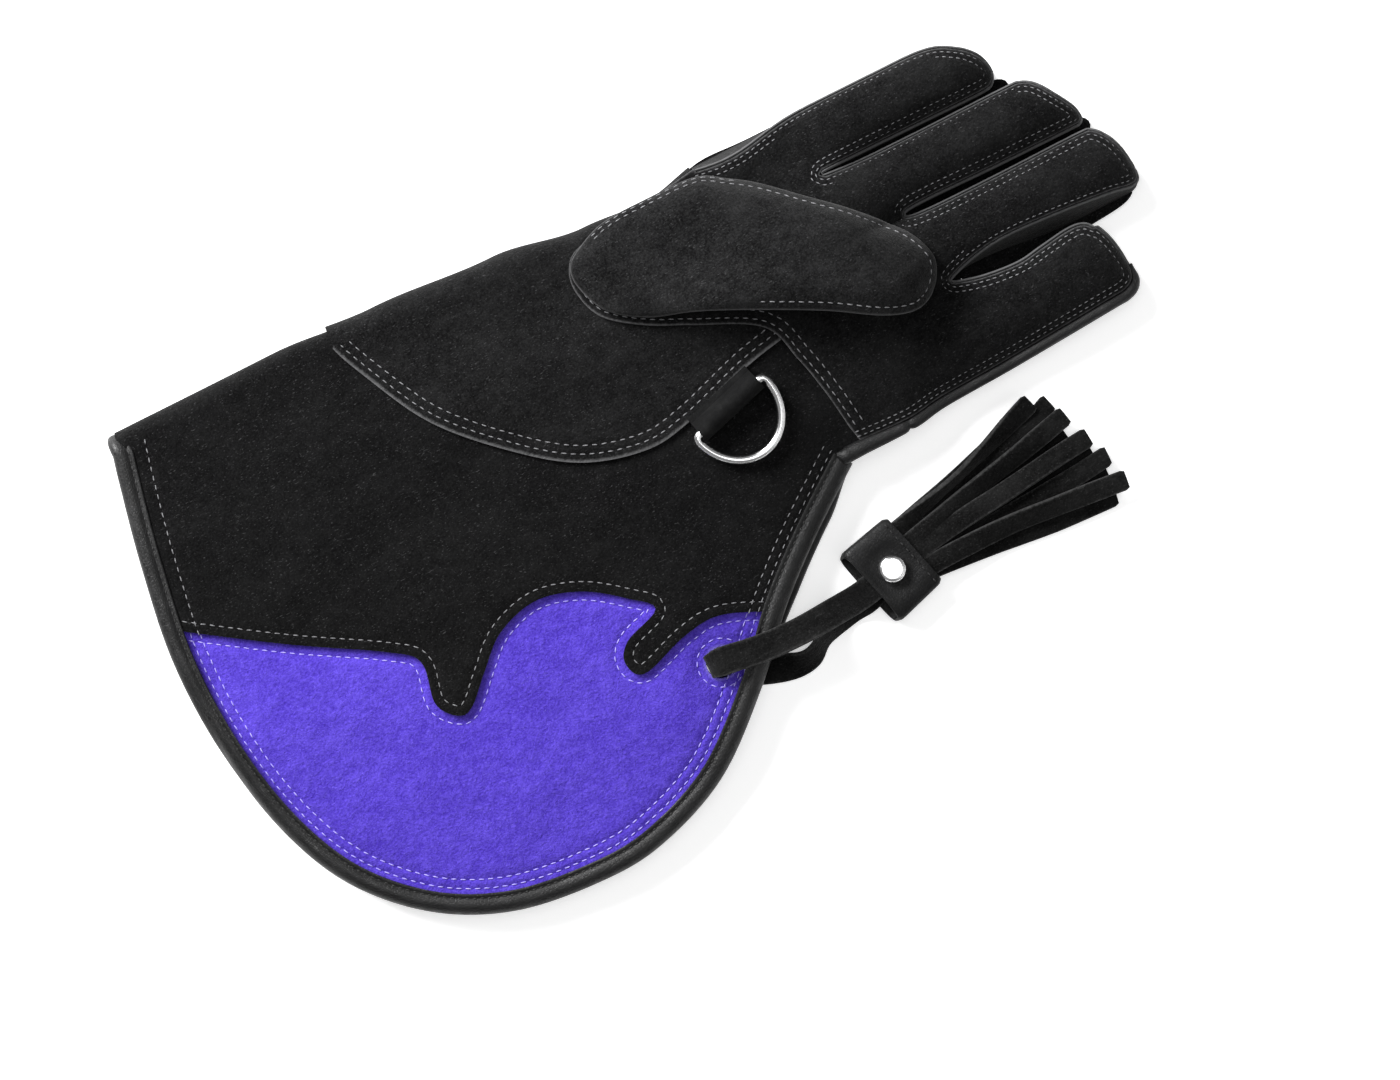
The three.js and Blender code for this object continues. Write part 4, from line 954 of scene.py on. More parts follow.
# %% [markdown]
# The palm and the fronts of the fingers are one piece, gathered at its seams. Two rows run along each
# side of every finger, a little inside the cut edge, and two rows sew the wrist.

# %% The palm's outline and rows
EDGE_LIP = 1.1  # the strips' edge that shows beyond the palm's


def tucked(path):
    """The palm's edge: a lip's width inside the outline, and further in beside the index finger's root."""
    x, y = path[:, 0], path[:, 1]
    beside = np.exp(-((x - 234) / 19) ** 2) * (y > -12)
    welted = (y < -89) & ((x > 336.5) | (y < -104))
    return np.where(welted, 0.1, EDGE_LIP + 4.2 * beside)


hand_front = smooth(on_hand(HAND), 0.9)
front_moved = hand_front + (parallel(hand_front, -1.0) - hand_front) * tucked(hand_front)[:, None]
clear = near(front_moved, [hand_front]) > 0.9 * np.minimum(tucked(hand_front), EDGE_LIP)
front = resample(front_moved[clear], 1.1)
palm_card = np.vstack([front, palm_start, [[WRIST, INDEX_SIDE - LEATHER - EDGE_LIP]]])
THUMB_MOUTH, MOUTH_LONG, MOUTH_SHORT, MOUTH_TURN = [-0.1, 0.31], 0.2, 0.115, -0.6
mouth_along = np.array([math.cos(MOUTH_TURN), math.sin(MOUTH_TURN)])
mouth_across = np.array([-mouth_along[1], mouth_along[0]])
mouth = on_hand([THUMB_MOUTH]) + HAND_WIDTH * np.array([
    MOUTH_LONG * math.cos(a) * mouth_along + MOUTH_SHORT * math.sin(a) * mouth_across
    for a in np.linspace(0, 2 * np.pi, 36)])
SEAM_INSETS = (1.3, 3.1)
# Where a finger's roll hides the inner row: low and high x, low and high y
NO_INNER_ROW = [(210, 321, -12, 0), (262, 334, -38, -31), (292, 352, -80, -71)]


def in_sight(p):
    good = np.ones(len(p), bool)
    for low_x, high_x, low_y, high_y in NO_INNER_ROW:
        good &= ~((p[:, 0] > low_x) & (p[:, 0] < high_x) & (p[:, 1] > low_y) & (p[:, 1] < high_y))
    return good


def stretches(line, keep):
    """All the stretches of a line whose points keep accepts."""
    good = keep(line)
    starts = np.flatnonzero(np.diff(np.concatenate([[False], good, [False]]).astype(int)))
    return [line[a:b] for a, b in zip(starts[::2], starts[1::2]) if b - a > 3]


outer_row, inner_row = [inset(front, distance) for distance in SEAM_INSETS]
finger_rows = [outer_row] + stretches(inner_row, in_sight)
finger_lines = [inset(front, distance) for distance in (0.5, 1.3, 2.2, 3.1, 4.0)]
wrist_rows = [clip_line(parallel(palm_start, d), lambda p: inside(palm_card, p)) for d in (-2.0, -5.0)]
palm_seams = wrist_rows + finger_rows
print("rows on the palm:", [len(row) for row in palm_seams], "points")

# %% [markdown]
# The palm is laid over the hand like the cuff's panels, and open under the thumb, where the real one has
# the thumb's mouth. Its edge is marked over its full length, since all of it is a cut edge.

# %% The palm and the fingers
flat_palm = cut_to(palm_card, finger_lines + guides(wrist_rows), 2.0, mouth)
palm_points, palm_faces = lay(flat_palm, palm_z, palm_seams)
palm_edge = cut_mark(palm_points, [palm_card], 1.2, 0.8)
points, faces, edge = thicken(palm_points, palm_faces, palm_edge, roll=0.75)
finish_piece(piece("palm", points, faces, black_suede, edge), ["palm_panel"])
for row in wrist_rows:
    sew("grey", row, palm_z)
for row in finger_rows:
    sew("fine", row, palm_z)

# %% [markdown]
# Between palm and back, each finger has a strip of suede at its sides. The back of the little finger is a
# piece of its own, and a round welt closes its outer seam.

# %% Lofting
def loft(sections, ring=True):
    """Closed skin through sections of points; ring says whether each section is closed."""
    sections = np.asarray(sections, float)
    n, m = sections.shape[:2]
    faces = [(i * m + j, i * m + (j + 1) % m, (i + 1) * m + (j + 1) % m, (i + 1) * m + j)
             for i in range(n - 1) for j in range(m)]
    if ring:
        return sections.reshape(-1, 3), faces + [tuple(range(m)), tuple(range((n - 1) * m, n * m))]
    return sections.reshape(-1, 3), faces + [(m * (n - 1) + j, m * (n - 1) + (j + 1) % m, (j + 1) % m, j)
                                             for j in range(m)]


two_triangles = [[(0, 0, z), (1, 0, z), (0, 1, z)] for z in (0, 1)]
print("a loft of two triangles has", len(loft(two_triangles)[1]), "faces")


# %% [markdown]
# The strip runs round the gap between two fingers. Its upper edge stands out past the palm's as a thin
# pale lip, so its section has a small bead there. The bead could be a second object, but a lip that
# belongs to the strip can't come loose from it.

# %% Strips between the fingers
def strip_floor(y):
    return np.where(y < CROTCH, BACK_BLACK + LEATHER / 2, LEATHER) + GAP


def side_strip(name, first, last, lean=0.0):
    """A strip from the back up to the palm's edge, where its own pale edge stands out as a lip."""
    path = smooth(on_hand(HAND[first:last + 1]), 1.0)
    square = parallel(path, 1.0) - path
    tuck = tucked(path) - EDGE_LIP
    top = path - square * tuck[:, None]
    high = np.maximum(worked(top, palm_z) - LEATHER / 2 - GAP, strip_floor(path[:, 1]) + GAP)
    high = high + crumple(path * 4, 7.0, 0.35, 5.0)
    low = strip_floor(path[:, 1])
    out = lean * np.sin(np.pi * np.clip(np.linspace(0, 1, len(path)) / 0.5, 0, 1))
    profile = [(out - GAP, low, 0), (out * 0.6 - tuck * 0.4 - GAP, (low + high) / 2, 0),
               (-tuck - 0.1, high - 0.2, 0.1), (-tuck + 0.15, high + 0.4, 0.6),
               (-tuck, high + 1.05, 0.95), (-tuck - 0.4, high + 1.35, 1.0),
               (-tuck - 0.85, high + 1.05, 0.7), (-tuck - 1.0, high + 0.2, 0.2), (-tuck - 2.4, high, 0),
               (-tuck - 2.4, low, 0)]
    rings = [np.column_stack([path + square * np.broadcast_to(d, len(path))[:, None],
                              np.broadcast_to(z, len(path))]) for d, z, _ in profile]
    points, faces = loft(np.stack(rings, axis=1))
    marks = [mark for _ in path for _, _, mark in profile]
    finish_piece(piece(name + "_suede", points, faces, black_suede, marks), [name])


side_strip("index_side", 0, 6)
side_strip("fourchette_index_middle", 6, 19)
side_strip("fourchette_middle_ring", 19, 33)
side_strip("fourchette_ring_little", 33, 49, 4.5)

# %% [markdown]
# The back of the little finger and of the hand's outer side is a card of its own, because the real glove
# has a seam there. It is a flat cut like the rest.

# %% The back of the little finger
little = on_hand(LITTLE_BACK)
little_card = np.vstack([[[BACK_END + GAP, little[0, 1]]], little[1:], [[2 * WRIST, CROTCH - GAP],
                         [2 * WRIST, -CUFF_DEPTH], [BACK_END + GAP, -CUFF_DEPTH]]])


def little_cut():
    def keep(p):
        return inside(little_card, p) & on_back(p)
    return cut([closed(little_card), closed(back_hand)] + [closed(web) for web in webs], keep, 3.0)


sheet = lay(little_cut(), lambda x, y: np.full(np.shape(x), BACK_BLACK), (), True, wave=0.0)
finish_piece(piece("little_back", *thicken(*sheet)[:2], black_suede), ["little_finger_back"])

# %% [markdown]
# The welt is a cord in a folded strip of leather. A bevelled curve could make it, but its radius changes
# along the seam, so it is a loft of round sections: thick at the binding, pinched at the turn, thin at
# the finger tip.

# %% The welt
SIDES = 16


def round_bar(path, radii):
    """Sections of a round bar square to a path of 3-D points, with a radius for each."""
    run = np.gradient(path, axis=0)
    run /= np.linalg.norm(run, axis=1)[:, None]
    side = np.cross(run, [0, 0, 1.0])
    side /= np.linalg.norm(side, axis=1)[:, None]
    up = np.cross(side, run)
    turns = (np.arange(SIDES) + 0.5) / SIDES * 2 * np.pi
    return [[p + r * (math.cos(t) * s + math.sin(t) * u) for t in turns]
            for p, r, s, u in zip(path, radii, side, up)]


outer_seam = smooth(on_hand([[-0.005, 1.01]] + HAND[:48:-1]), 0.8)
share = np.linspace(0, 1, len(outer_seam))
radii = mix(3.0, PIPING_RADIUS + 0.25, ease(share / 0.3)) * mix(1.0, 0.45, ease((share - 0.93) / 0.07))
radii = radii * np.sqrt(np.clip(share / 0.02, 0.12, 1))
radii = radii * (1 - 0.2 * np.exp(-((share - 0.215) / 0.009) ** 2))
outward = parallel(outer_seam, -1.0) - outer_seam
welt_line = outer_seam + outward * (radii * 0.85)[:, None]
welt_z = worked(outer_seam, palm_z) - LEATHER - GAP + (radii - PIPING_RADIUS) * 0.4
sections = round_bar(np.column_stack([welt_line, welt_z]), radii)
finish_piece(piece("little_finger_welt", *loft(sections), binding_leather), ["little_finger_piping"])

# %% [markdown]
# The thumb is a small hollow form sewn over the palm. Its height follows the distance from its outline,
# so it is round like a real thumb, and an inner row of stitches follows the seam.

# %% The thumb's height
def thumb_floor(x, y):
    return palm_z(x, y) + LEATHER / 2 + GAP


THUMB_LIFT, LIFT_REACH, LIFT_FROM = 9.0, 18.0, 184
free_edge = smooth(on_hand(THUMB[14:20]))


def lifted(points):
    """How far the thumb's lower edge stands clear of the palm, in millimetres."""
    beside = ease(1 - near(points, [free_edge], LIFT_REACH) / LIFT_REACH)
    return THUMB_LIFT * beside * ease((points[:, 0] - LIFT_FROM) / 20)


def thumb_height(points):
    share = ease((points[:, 0] - thumb[0, 0]) / (0.4 * HAND_LENGTH))
    full = mix(0.35, 1, share) * (THUMB_RISE - 2 * LEATHER) - lifted(points) * 0.6
    rise = full * dome(near(points, [closed(thumb)]) / THUMB_ROUND)
    return worked(points, thumb_floor) + rise + 2 * LEATHER + lifted(points)


def thumb_inset(distance):
    moved = parallel(thumb, -THUMB_SIDE * distance, True)
    return resample(closed(moved[near(moved, [closed(thumb)]) > 0.94 * distance]), 1.1)


# Which way round the thumb's outline runs decides which side of it is the inside
area = np.sum(thumb[:, 0] * np.roll(thumb[:, 1], -1) - np.roll(thumb[:, 0], -1) * thumb[:, 1])
THUMB_SIDE = -1 if area > 0 else 1
print("the thumb's outline is", round(abs(area) / 2), "square millimetres")

# %% [markdown]
# One row runs round the upper side and the tip, a second one beside it on the upper side, and a short one
# shows on the lower edge. The rows are stretches of curves parallel to the seam, picked by place.

# %% The thumb
AT_EDGE = 4  # a row this near to the free edge belongs to it
ROW_FROM, ROW_TO, TIP_FROM = 180, 232, 247
LOWER_FROM, LOWER_TO = 221, 248
UPPER_SIDE, SECOND_SIDE = -36, -22


def first_row(p):
    upper = (near(p, [free_edge], CLOSE) > AT_EDGE) & (p[:, 0] > ROW_FROM) & (p[:, 1] > UPPER_SIDE)
    return upper | (p[:, 0] > TIP_FROM)


def second_row(p):
    return (p[:, 1] > SECOND_SIDE) & (p[:, 0] > ROW_FROM) & (p[:, 0] < ROW_TO)


def lower_row(p):
    return (near(p, [free_edge], CLOSE) <= AT_EDGE) & (p[:, 0] > LOWER_FROM) & (p[:, 0] < LOWER_TO)


thumb_rows = [row for distance, keep in ((2.4, first_row), (1.0, second_row), (2.4, lower_row))
              for row in stretches(thumb_inset(distance), keep)]
thumb_lines = [thumb_inset(d) for d in (0.5, 1.0, 1.7, 2.4, 3.2)]
flat_points, flat_faces = cut_to(thumb, thumb_lines, 1.9)
top = thumb_height(flat_points) - groove(flat_points, thumb_rows, 0.55, 0.9)
low = worked(flat_points, thumb_floor) + lifted(flat_points)
points, faces = shell(np.column_stack([flat_points, top]), np.column_stack([flat_points, low]), flat_faces)
edge = cut_mark(flat_points, [closed(thumb)], 0.9, 0.75)
# The thumb's lighter suede is painted light
finish_piece(piece("thumb_suede", points, faces, thumb_painted_light_suede, np.concatenate([edge, edge])),
             ["thumb"])
for row in thumb_rows:
    rows["grey"].append(np.column_stack([row, thumb_height(row) - 0.42]))

# %% [markdown]
# The binding is a strip of smooth leather folded over the cuff's edge and sewn through, round the mouth
# and the flare. Its section is a C: a round outer edge, a groove for the stitches and a fine lip along
# the inner edge.

# %% Bindings
binding_top = BINDING_HEIGHT / 2
slot_start, slot_high = PANEL_BACKSET - GAP, BINDING_HEIGHT / 2 - BINDING_SKIN
crown = [(3.1 - 3.1 * math.cos(t), binding_top * math.sin(t)) for t in np.linspace(0, np.pi / 2, 9)]
crown += [(4.0, binding_top - 0.08), (4.9, binding_top - 0.42), (5.6, binding_top - 0.9),
          (6.0, binding_top - 1.1), (6.5, binding_top - 0.8), (7.1, binding_top - 0.75),
          (BINDING_WIDTH, binding_top - 0.95), (BINDING_WIDTH, slot_high - 0.05)]
under = [(w, -h) for w, h in reversed(crown[1:])]
BINDING_SECTION = crown + [(slot_start, slot_high), (slot_start, -slot_high)] + under


def palm_middle(points):
    return worked(points, lambda x, y: cuff_z(x, y) - PAIR_HALF, **palm_side)


def back_middle(points):
    return worked(points, lambda x, y: BACK_PAIR + strap_lift(x, y), **back_side)


print("the binding's section has", len(BINDING_SECTION), "points")

# %% [markdown]
# One strip of leather runs up the palm side, round the fold and down the back side. A curve with a bevel
# object could carry the section, but it would tilt at the fold, so each point of the section gets its own
# long line, and the lines are lofted.

# %% The binding round the cuff
edge_run = flare[flare[:, 1] < fold_centre(0)]
columns = []
for w, h in BINDING_SECTION:
    inner = parallel(edge_run, w)
    palm_run = np.column_stack([inner, palm_middle(inner) + h])
    slip = 2.2 * ease((edge_run[:, 0] - 160) / 28) * ease((224 - edge_run[:, 0]) / 16)
    shifted = inner + (parallel(edge_run, -1.0) - edge_run) * slip[:, None]
    back_run = np.column_stack([shifted, back_middle(inner) - h])
    low_radius = BACK_BLACK + FOLD_RADIUS - back_run[0, 2]
    high_radius = palm_run[0, 2] - BACK_BLACK - FOLD_RADIUS
    turn_run = [[palm_run[0, 0], palm_run[0, 1] + mix(low_radius, high_radius, s) * math.sin(math.pi * s),
                 BACK_BLACK + FOLD_RADIUS - mix(low_radius, high_radius, s) * math.cos(math.pi * s)]
                for s in np.linspace(0, 1, 15)[1:-1]]
    columns.append(np.vstack([back_run[::-1], turn_run, palm_run]))
sections = np.stack(columns, axis=1)
finish_piece(piece("binding", *loft(sections), binding_leather, sharp=75),
             ["cuff_binding_palm", "cuff_binding_back"])
for middle, side in ((palm_middle, 1), (back_middle, -1)):
    seam = parallel(edge_run, 6.0)
    rows["dark"].append(np.column_stack([seam, middle(seam) + side * (binding_top - 0.98)]))

# %% [markdown]
# A folded loop of leather holds the ring's straight bar on the second layer. The ring is 3 mm nickel
# wire, bent to a D and welded, lying back over the palm side of the cuff.

# %% The keeper's seat
BAR_MIDDLE, BAR_TURN = on_cuff([[0.872, 0.408]])[0], 0.28
RING_RADIUS = RING_WIRE / 2
ROLL_INNER = RING_RADIUS + 0.5
ROLL_OUTER = ROLL_INNER + LEATHER
KEEPER_LENGTH = RING_INSIDE - 2 * 0.8
along_bar = np.array([math.cos(BAR_TURN), math.sin(BAR_TURN)])
off_bar = np.array([along_bar[1], -along_bar[0]])


def bar_top(u, v):
    at = BAR_MIDDLE + u * along_bar + v * off_bar
    return float(cuff_z(at[0], at[1])) + LEATHER / 2


half = KEEPER_LENGTH / 2
slope_along = (bar_top(half, 0) - bar_top(-half, 0)) / KEEPER_LENGTH
slope_off = (bar_top(0, ROLL_OUTER) - bar_top(0, -ROLL_OUTER)) / (2 * ROLL_OUTER)
seat_x = Vector((*along_bar, slope_along)).normalized()
seat_z = seat_x.cross(Vector((*off_bar, slope_off))).normalized()
seat_z = seat_z if seat_z.z > 0 else -seat_z
seat_y = seat_x.cross(seat_z).normalized()
seat_y = seat_y if seat_y.y < 0 else -seat_y


def rise(u, v):
    return bar_top(u, v) - bar_top(0, 0) - slope_along * u - slope_off * v


lift = max(max(rise(u, v) for v in np.linspace(-ROLL_OUTER - 3, ROLL_OUTER, 7))
           for u in np.linspace(-half, half, 7))
lift = max(lift, 0)
origin = Vector((*BAR_MIDDLE, bar_top(0, 0) + lift + 2 * GAP))
droop = min((ROLL_OUTER - RING_RADIUS - GAP - lift - rise(u, RING_DEPTH)) / RING_DEPTH
            for u in np.linspace(-half, half, 5))
bar_point = origin + seat_z * ROLL_OUTER
print("the ring's bar lies", round(bar_point.z, 2), "mm above the floor")

# %% [markdown]
# The keeper is a strip folded round the bar. Its section is a roll with a flat leaf, drawn once and
# carried along the bar, a little smaller towards its two ends, where the leather is pressed together.

# %% The keeper
leaf = 6.6
keeper = [(-leaf, -0.3), (-leaf, LEATHER - 0.3), (-leaf + 2, LEATHER + 0.2)]
keeper += [(ROLL_OUTER * math.cos(t), ROLL_OUTER + ROLL_OUTER * math.sin(t))
           for t in np.linspace(0.9 * np.pi, -0.5 * np.pi, 22)]
sections = []
for u in np.linspace(-half, half, 25):
    from_end = 1 - math.exp(-((half - abs(u)) / 0.8))
    sections.append([origin + seat_x * u + seat_y * a + seat_z * (ROLL_OUTER + (b - ROLL_OUTER)
                     * (0.9 + 0.1 * from_end)) for a, b in keeper])
finish_piece(piece("keeper", *loft(sections), keeper_leather), ["ring_keeper"])

# %% [markdown]
# The ring is a round wire along a closed D. Its sections stand square to the wire and are lofted all
# round, so it has no seam. It could be a bevelled curve, but the loft shares the exact path of the
# measured ring.

# %% The D-ring
ring_out = (seat_y - seat_z * droop).normalized()
ring_up = seat_x.cross(ring_out).normalized()
reach = (RING_INSIDE + RING_WIRE) / 2
corner = 0.6 * RING_WIRE
bow = [(reach * math.cos(t), corner + (RING_DEPTH - corner) * math.sin(t))
       for t in np.linspace(0, np.pi, 40)]
wire = [(reach - corner * 0.3, corner * 0.3)] + bow + [(-reach + corner * 0.3, corner * 0.3)]
wire += [(u, 0) for u in np.linspace(-reach + corner, reach - corner, 12)]
wire = resample([bar_point + seat_x * u + ring_out * v for u, v in wire], 0.9, closed=True)
run = np.roll(wire, -1, 0) - np.roll(wire, 1, 0)
run /= np.linalg.norm(run, axis=1)[:, None]
side = np.cross(run, np.array(ring_up))
turns = np.arange(SIDES) / SIDES * 2 * np.pi
sections = [[p + RING_RADIUS * (math.cos(t) * s + math.sin(t) * np.array(ring_up)) for t in turns]
            for p, s in zip(wire, side)]
finish_piece(piece("d_ring_wire", *loft(sections, ring=False), nickel), ["d_ring"], "d_ring")

# %% [markdown]
# The tassel: a strap of suede goes down through the hole in the flare and comes back under it, both ends
# are held in a flattened sleeve by a snap rivet, and the fringe is cut from two layers.

# %% The tassel's place
TASSEL_TURN = 0.26
SLEEVE_FLOOR = SNAP_UNDER + GAP
SLEEVE_MIDDLE = SLEEVE_FLOOR + SLEEVE_HEIGHT / 2
STRAP_Z = SLEEVE_HEIGHT / 2 - LEATHER - GAP - LEATHER / 2


def in_tassel(x, y, z):
    c, s = math.cos(TASSEL_TURN), math.sin(TASSEL_TURN)
    return np.array([TASSEL_AT[0] + x * c - y * s, TASSEL_AT[1] + x * s + y * c, z])


print("the tassel is turned by", round(math.degrees(TASSEL_TURN)), "degrees")


# %% [markdown]
# The strap and the fringe are strips of one kind: a width, a thickness, and a path along which they turn
# and roll. Cloth simulation could drape them, but the photograph fixes where they lie, so each is lofted
# along its path, with a slight curl across, since split suede is never flat.

# %% The strap
# Round a ribbon's section, as shares of half its width and half its thickness
RIBBON_SECTION = [(-1, -0.6), (-0.96, -1), (-0.5, -1), (0, -1), (0.5, -1), (0.96, -1), (1, -0.6),
                  (1, 0.6), (0.96, 1), (0.5, 1), (0, 1), (-0.5, 1), (-0.96, 1), (-1, 0.6)]


def ribbon(points, headings, rolls, widths, curl):
    """A strip with rounded edges along a smooth path; its width turns with the headings and the rolls."""
    path = smooth(np.column_stack([points, headings, rolls, widths]), 1.4)
    run = np.gradient(path[:, :3], axis=0)
    run /= np.linalg.norm(run, axis=1)[:, None]
    sections, marks = [], []
    for number, (p, r) in enumerate(zip(path, run)):
        wide = p[5] * (0.84 if number in (0, len(path) - 1) else 1)
        level = np.array([-math.sin(p[3]), math.cos(p[3]), 0])
        up = np.cross(r, level)
        up /= max(np.linalg.norm(up), 1e-6)
        side = level * math.cos(p[4]) + up * math.sin(p[4])
        up = up * math.cos(p[4]) - level * math.sin(p[4])
        for s, t in RIBBON_SECTION:
            sections.append(p[:3] + side * s * wide / 2 + up * (t * LEATHER / 2 + curl * (1 - s * s)))
            marks.append(0.62 if abs(s) > 0.9 else 0.0)
    points, faces = loft(np.array(sections).reshape(len(path), -1, 3))
    return points, faces, marks


def over_binding(share):
    x, y = mix(HOLE, TASSEL_AT, share)
    y -= 3.4 * math.sin(math.pi * share)
    return [x, y, float(cuff_z(x, y)) - PAIR_HALF + BINDING_HEIGHT / 2 + 1.6 + LEATHER / 2]


half_sleeve = SLEEVE_LENGTH / 2
heading = math.atan2(TASSEL_AT[1] - HOLE[1], TASSEL_AT[0] - HOLE[0])
high, low = SLEEVE_MIDDLE + STRAP_Z, SLEEVE_MIDDLE - STRAP_Z
hole_z = float(cuff_z(*HOLE))
LIP = 4.3  # how far the strap lies against the hole's left side
# Each place of the strap with its heading, its roll, and its width where the round hole gathers it
route = [
    (in_tassel(half_sleeve * 0.7, 0, high), TASSEL_TURN, 0, 1),
    (in_tassel(-half_sleeve - 1, 0, high), TASSEL_TURN, 0, 1),
    (over_binding(0.62), heading, 0.1, 1), (over_binding(0.42), heading, 0.3, 1),
    (over_binding(0.22), heading, 0.15, 1), ([HOLE[0] + 3.2, HOLE[1] + 0.1, hole_z + 2.6], 0.03, 0, 1.02),
    ([HOLE[0] - 0.6, HOLE[1] + 0.5, hole_z + 1.9], 0, 0, 1),
    ([HOLE[0] - LIP, HOLE[1] + 0.6, hole_z - 0.6], 0, 0, 0.82),
    ([HOLE[0] - LIP, HOLE[1] + 0.4, hole_z - 4 * LEATHER], 0, 0, 0.7),
    ([HOLE[0] - LIP + 0.8, HOLE[1] - 2, 2.4], -0.25, 0, 0.8), ([160, -172.5, LEATHER / 2], -0.35, 0, 1),
    ([172, -177, 1.8], -0.2, 0.15, 1), ([181.5, -178, 4.1], 0.25, 0.75, 1),
    ([189, -174, 4.9], 0.45, 1.05, 1), ([200, -170.2, low - 0.5], 0.35, 0.6, 1),
    (in_tassel(-half_sleeve - 1, -2.2, low), TASSEL_TURN, 0.15, 1),
    (in_tassel(half_sleeve * 0.7, 0, low), TASSEL_TURN, 0, 1)]
places, headings, rolls, gather = zip(*route)
points, faces, marks = ribbon(places, headings, rolls, [STRAP_WIDTH * g for g in gather], 0.3)
finish_piece(piece("strap", points, faces, strap_suede, marks), ["tassel_strap"])


# %% [markdown]
# The sleeve is a flattened tube of thin leather, pulled in round the snap. Its section is a rounded
# oblong, and its inner skin is lofted on from the outer one, round both ends, so it is one closed wall.

# %% The sleeve
DENT, DENT_RING, DENT_WIDE = 1.1, 6.5, 2.6  # how the snap pulls the leather in, round its cap


def tube(width, height, x, dent):
    """One section of the flattened sleeve; the snap pulls its top down round the cap."""
    rise = height / 2
    ring = []
    for t in np.linspace(0, 2 * np.pi, 56, endpoint=False):
        y = math.copysign(abs(math.cos(t)) ** 0.5, math.cos(t)) * width / 2
        z = math.copysign(abs(math.sin(t)) ** 0.5, math.sin(t)) * rise
        if z > 0:
            z -= dent * math.exp(-((math.hypot(x, y) - DENT_RING) / DENT_WIDE) ** 2)
        lean = 1.3 * z / rise if x < -0.8 * half_sleeve else 0
        ring.append(in_tassel(x + lean, y, SLEEVE_MIDDLE + z))
    return ring


half_shares = [0.25, 0.45, 0.65, 0.85, 0.96, 1]
skins = [(0, x * half_sleeve) for x in [-s for s in half_shares[::-1]] + [0] + half_shares]
skins += [(1, half_sleeve), (1, -half_sleeve)]
sections = []
for skin, x in skins:
    slack = 1 + 0.05 * (0.5 - x / SLEEVE_LENGTH)
    to_end = 0 if skin else max(0, abs(x) / half_sleeve - 0.8) / 0.2
    sections.append(tube(SLEEVE_WIDTH * slack - 2.4 * LEATHER * skin - 2.2 * to_end ** 2,
                         SLEEVE_HEIGHT - 2 * LEATHER * skin - 0.35 * to_end ** 4, x, 0 if skin else DENT))
finish_piece(piece("sleeve", *loft(sections, ring=False), sleeve_leather, sharp=60), ["tassel_sleeve"])
sleeve_row = [in_tassel(half_sleeve - 2.2, y, SLEEVE_FLOOR + SLEEVE_HEIGHT - 0.02)
              for y in np.linspace(-SLEEVE_WIDTH * 0.42, SLEEVE_WIDTH * 0.42, 30)]
rows["dark"].append(np.array(sleeve_row))

# %% [markdown]
# The fringe is cut from layers of suede, and its strips have spread over each other. Each strip is a
# ribbon from the sleeve to a listed cut end, with a small bow and twist of its own.

# %% The fringe
TURNED_STRIP, TURNED_BY = 0, 1.2
FRINGE_START, FRINGE_WIDTH = half_sleeve - 2.5, 7.2
# Each strip: across at the sleeve, then along and across at its cut end, its layer
STRIPS = [(8.6, 75, 11, 2), (8.4, 73, 8, 0), (6, 80, 6.5, 1), (4.6, 77, 1.5, 0), (2.6, 81, -0.5, 2),
          (0.8, 77, -6, 0), (-1, 82, -11.5, 2), (-3, 80, -15.5, 0), (-4.6, 83, -21, 1),
          (-6.2, 79, -25.5, 0), (-7.6, 82, -31.5, 2), (-8.6, 76, -33.5, 0)]
# How far down a strip has come at each share of its length
FALL = [(0, 0), (0.1, 0.1), (0.22, 0.35), (0.36, 0.62), (0.5, 0.85), (0.68, 0.97), (0.84, 1), (1, 1)]
LAYER_STEP = 2.3
points, faces, marks, start = [], [], [], 0
for number, (root, tip_x, tip_y, layer) in enumerate(STRIPS):
    rest = LEATHER / 2 + layer * LAYER_STEP
    wave = 1.6 * math.sin(2.1 * number + 0.4)
    twist = TURNED_BY if number == TURNED_STRIP else (0.5 if layer else 0.15) * math.sin(1.9 * number + 0.6)
    route, turns, rolls = [], [], []
    for r, f in FALL:
        bow = 4 * r * (1 - r) * (wave - 1.2) + 0.9 * math.sin(9 * r + number) * r * (1 - r)
        y = mix(root, tip_y, r ** 1.3) + bow
        z = mix(SLEEVE_MIDDLE + 0.7 * layer - 0.8, rest, f)
        z += 0.8 * math.sin(5 * r + 2 * number) * f * (1 - r)
        roll = twist * math.sin(math.pi * r) + 0.1 * math.sin(7 * r + number)
        lowest = (LEATHER + FRINGE_WIDTH * abs(math.sin(roll))) / 2
        route.append(in_tassel(FRINGE_START + r * (tip_x - FRINGE_START), y, max(z, lowest)))
        slope = (tip_y - root) * 1.3 * r ** 0.3 / (tip_x - FRINGE_START)
        turns.append(TASSEL_TURN + math.atan(slope))
        rolls.append(roll)
    p, f, m = ribbon(route, turns, rolls, [FRINGE_WIDTH] * len(route), 0.55)
    points.append(p)
    marks += m
    faces += [tuple(v + start for v in face) for face in f]
    start += len(p)
finish_piece(piece("fringe", np.vstack(points), faces, strap_suede, marks), ["tassel_fringe"])

# %% [markdown]
# The snap is two turned caps, one above the sleeve and one below. A turned part is a profile carried
# round an axis, which the Screw modifier also does. The loft closes the seam by itself.

# %% The snap
def turned(name, profile, node):
    sections = [[[TASSEL_AT[0] + r * math.cos(t), TASSEL_AT[1] + r * math.sin(t), z] for r, z in profile]
                for t in np.linspace(0, 2 * np.pi, 48, endpoint=False)]
    finish_piece(piece(name, *loft(sections, ring=False), nickel, sharp=40), [node])


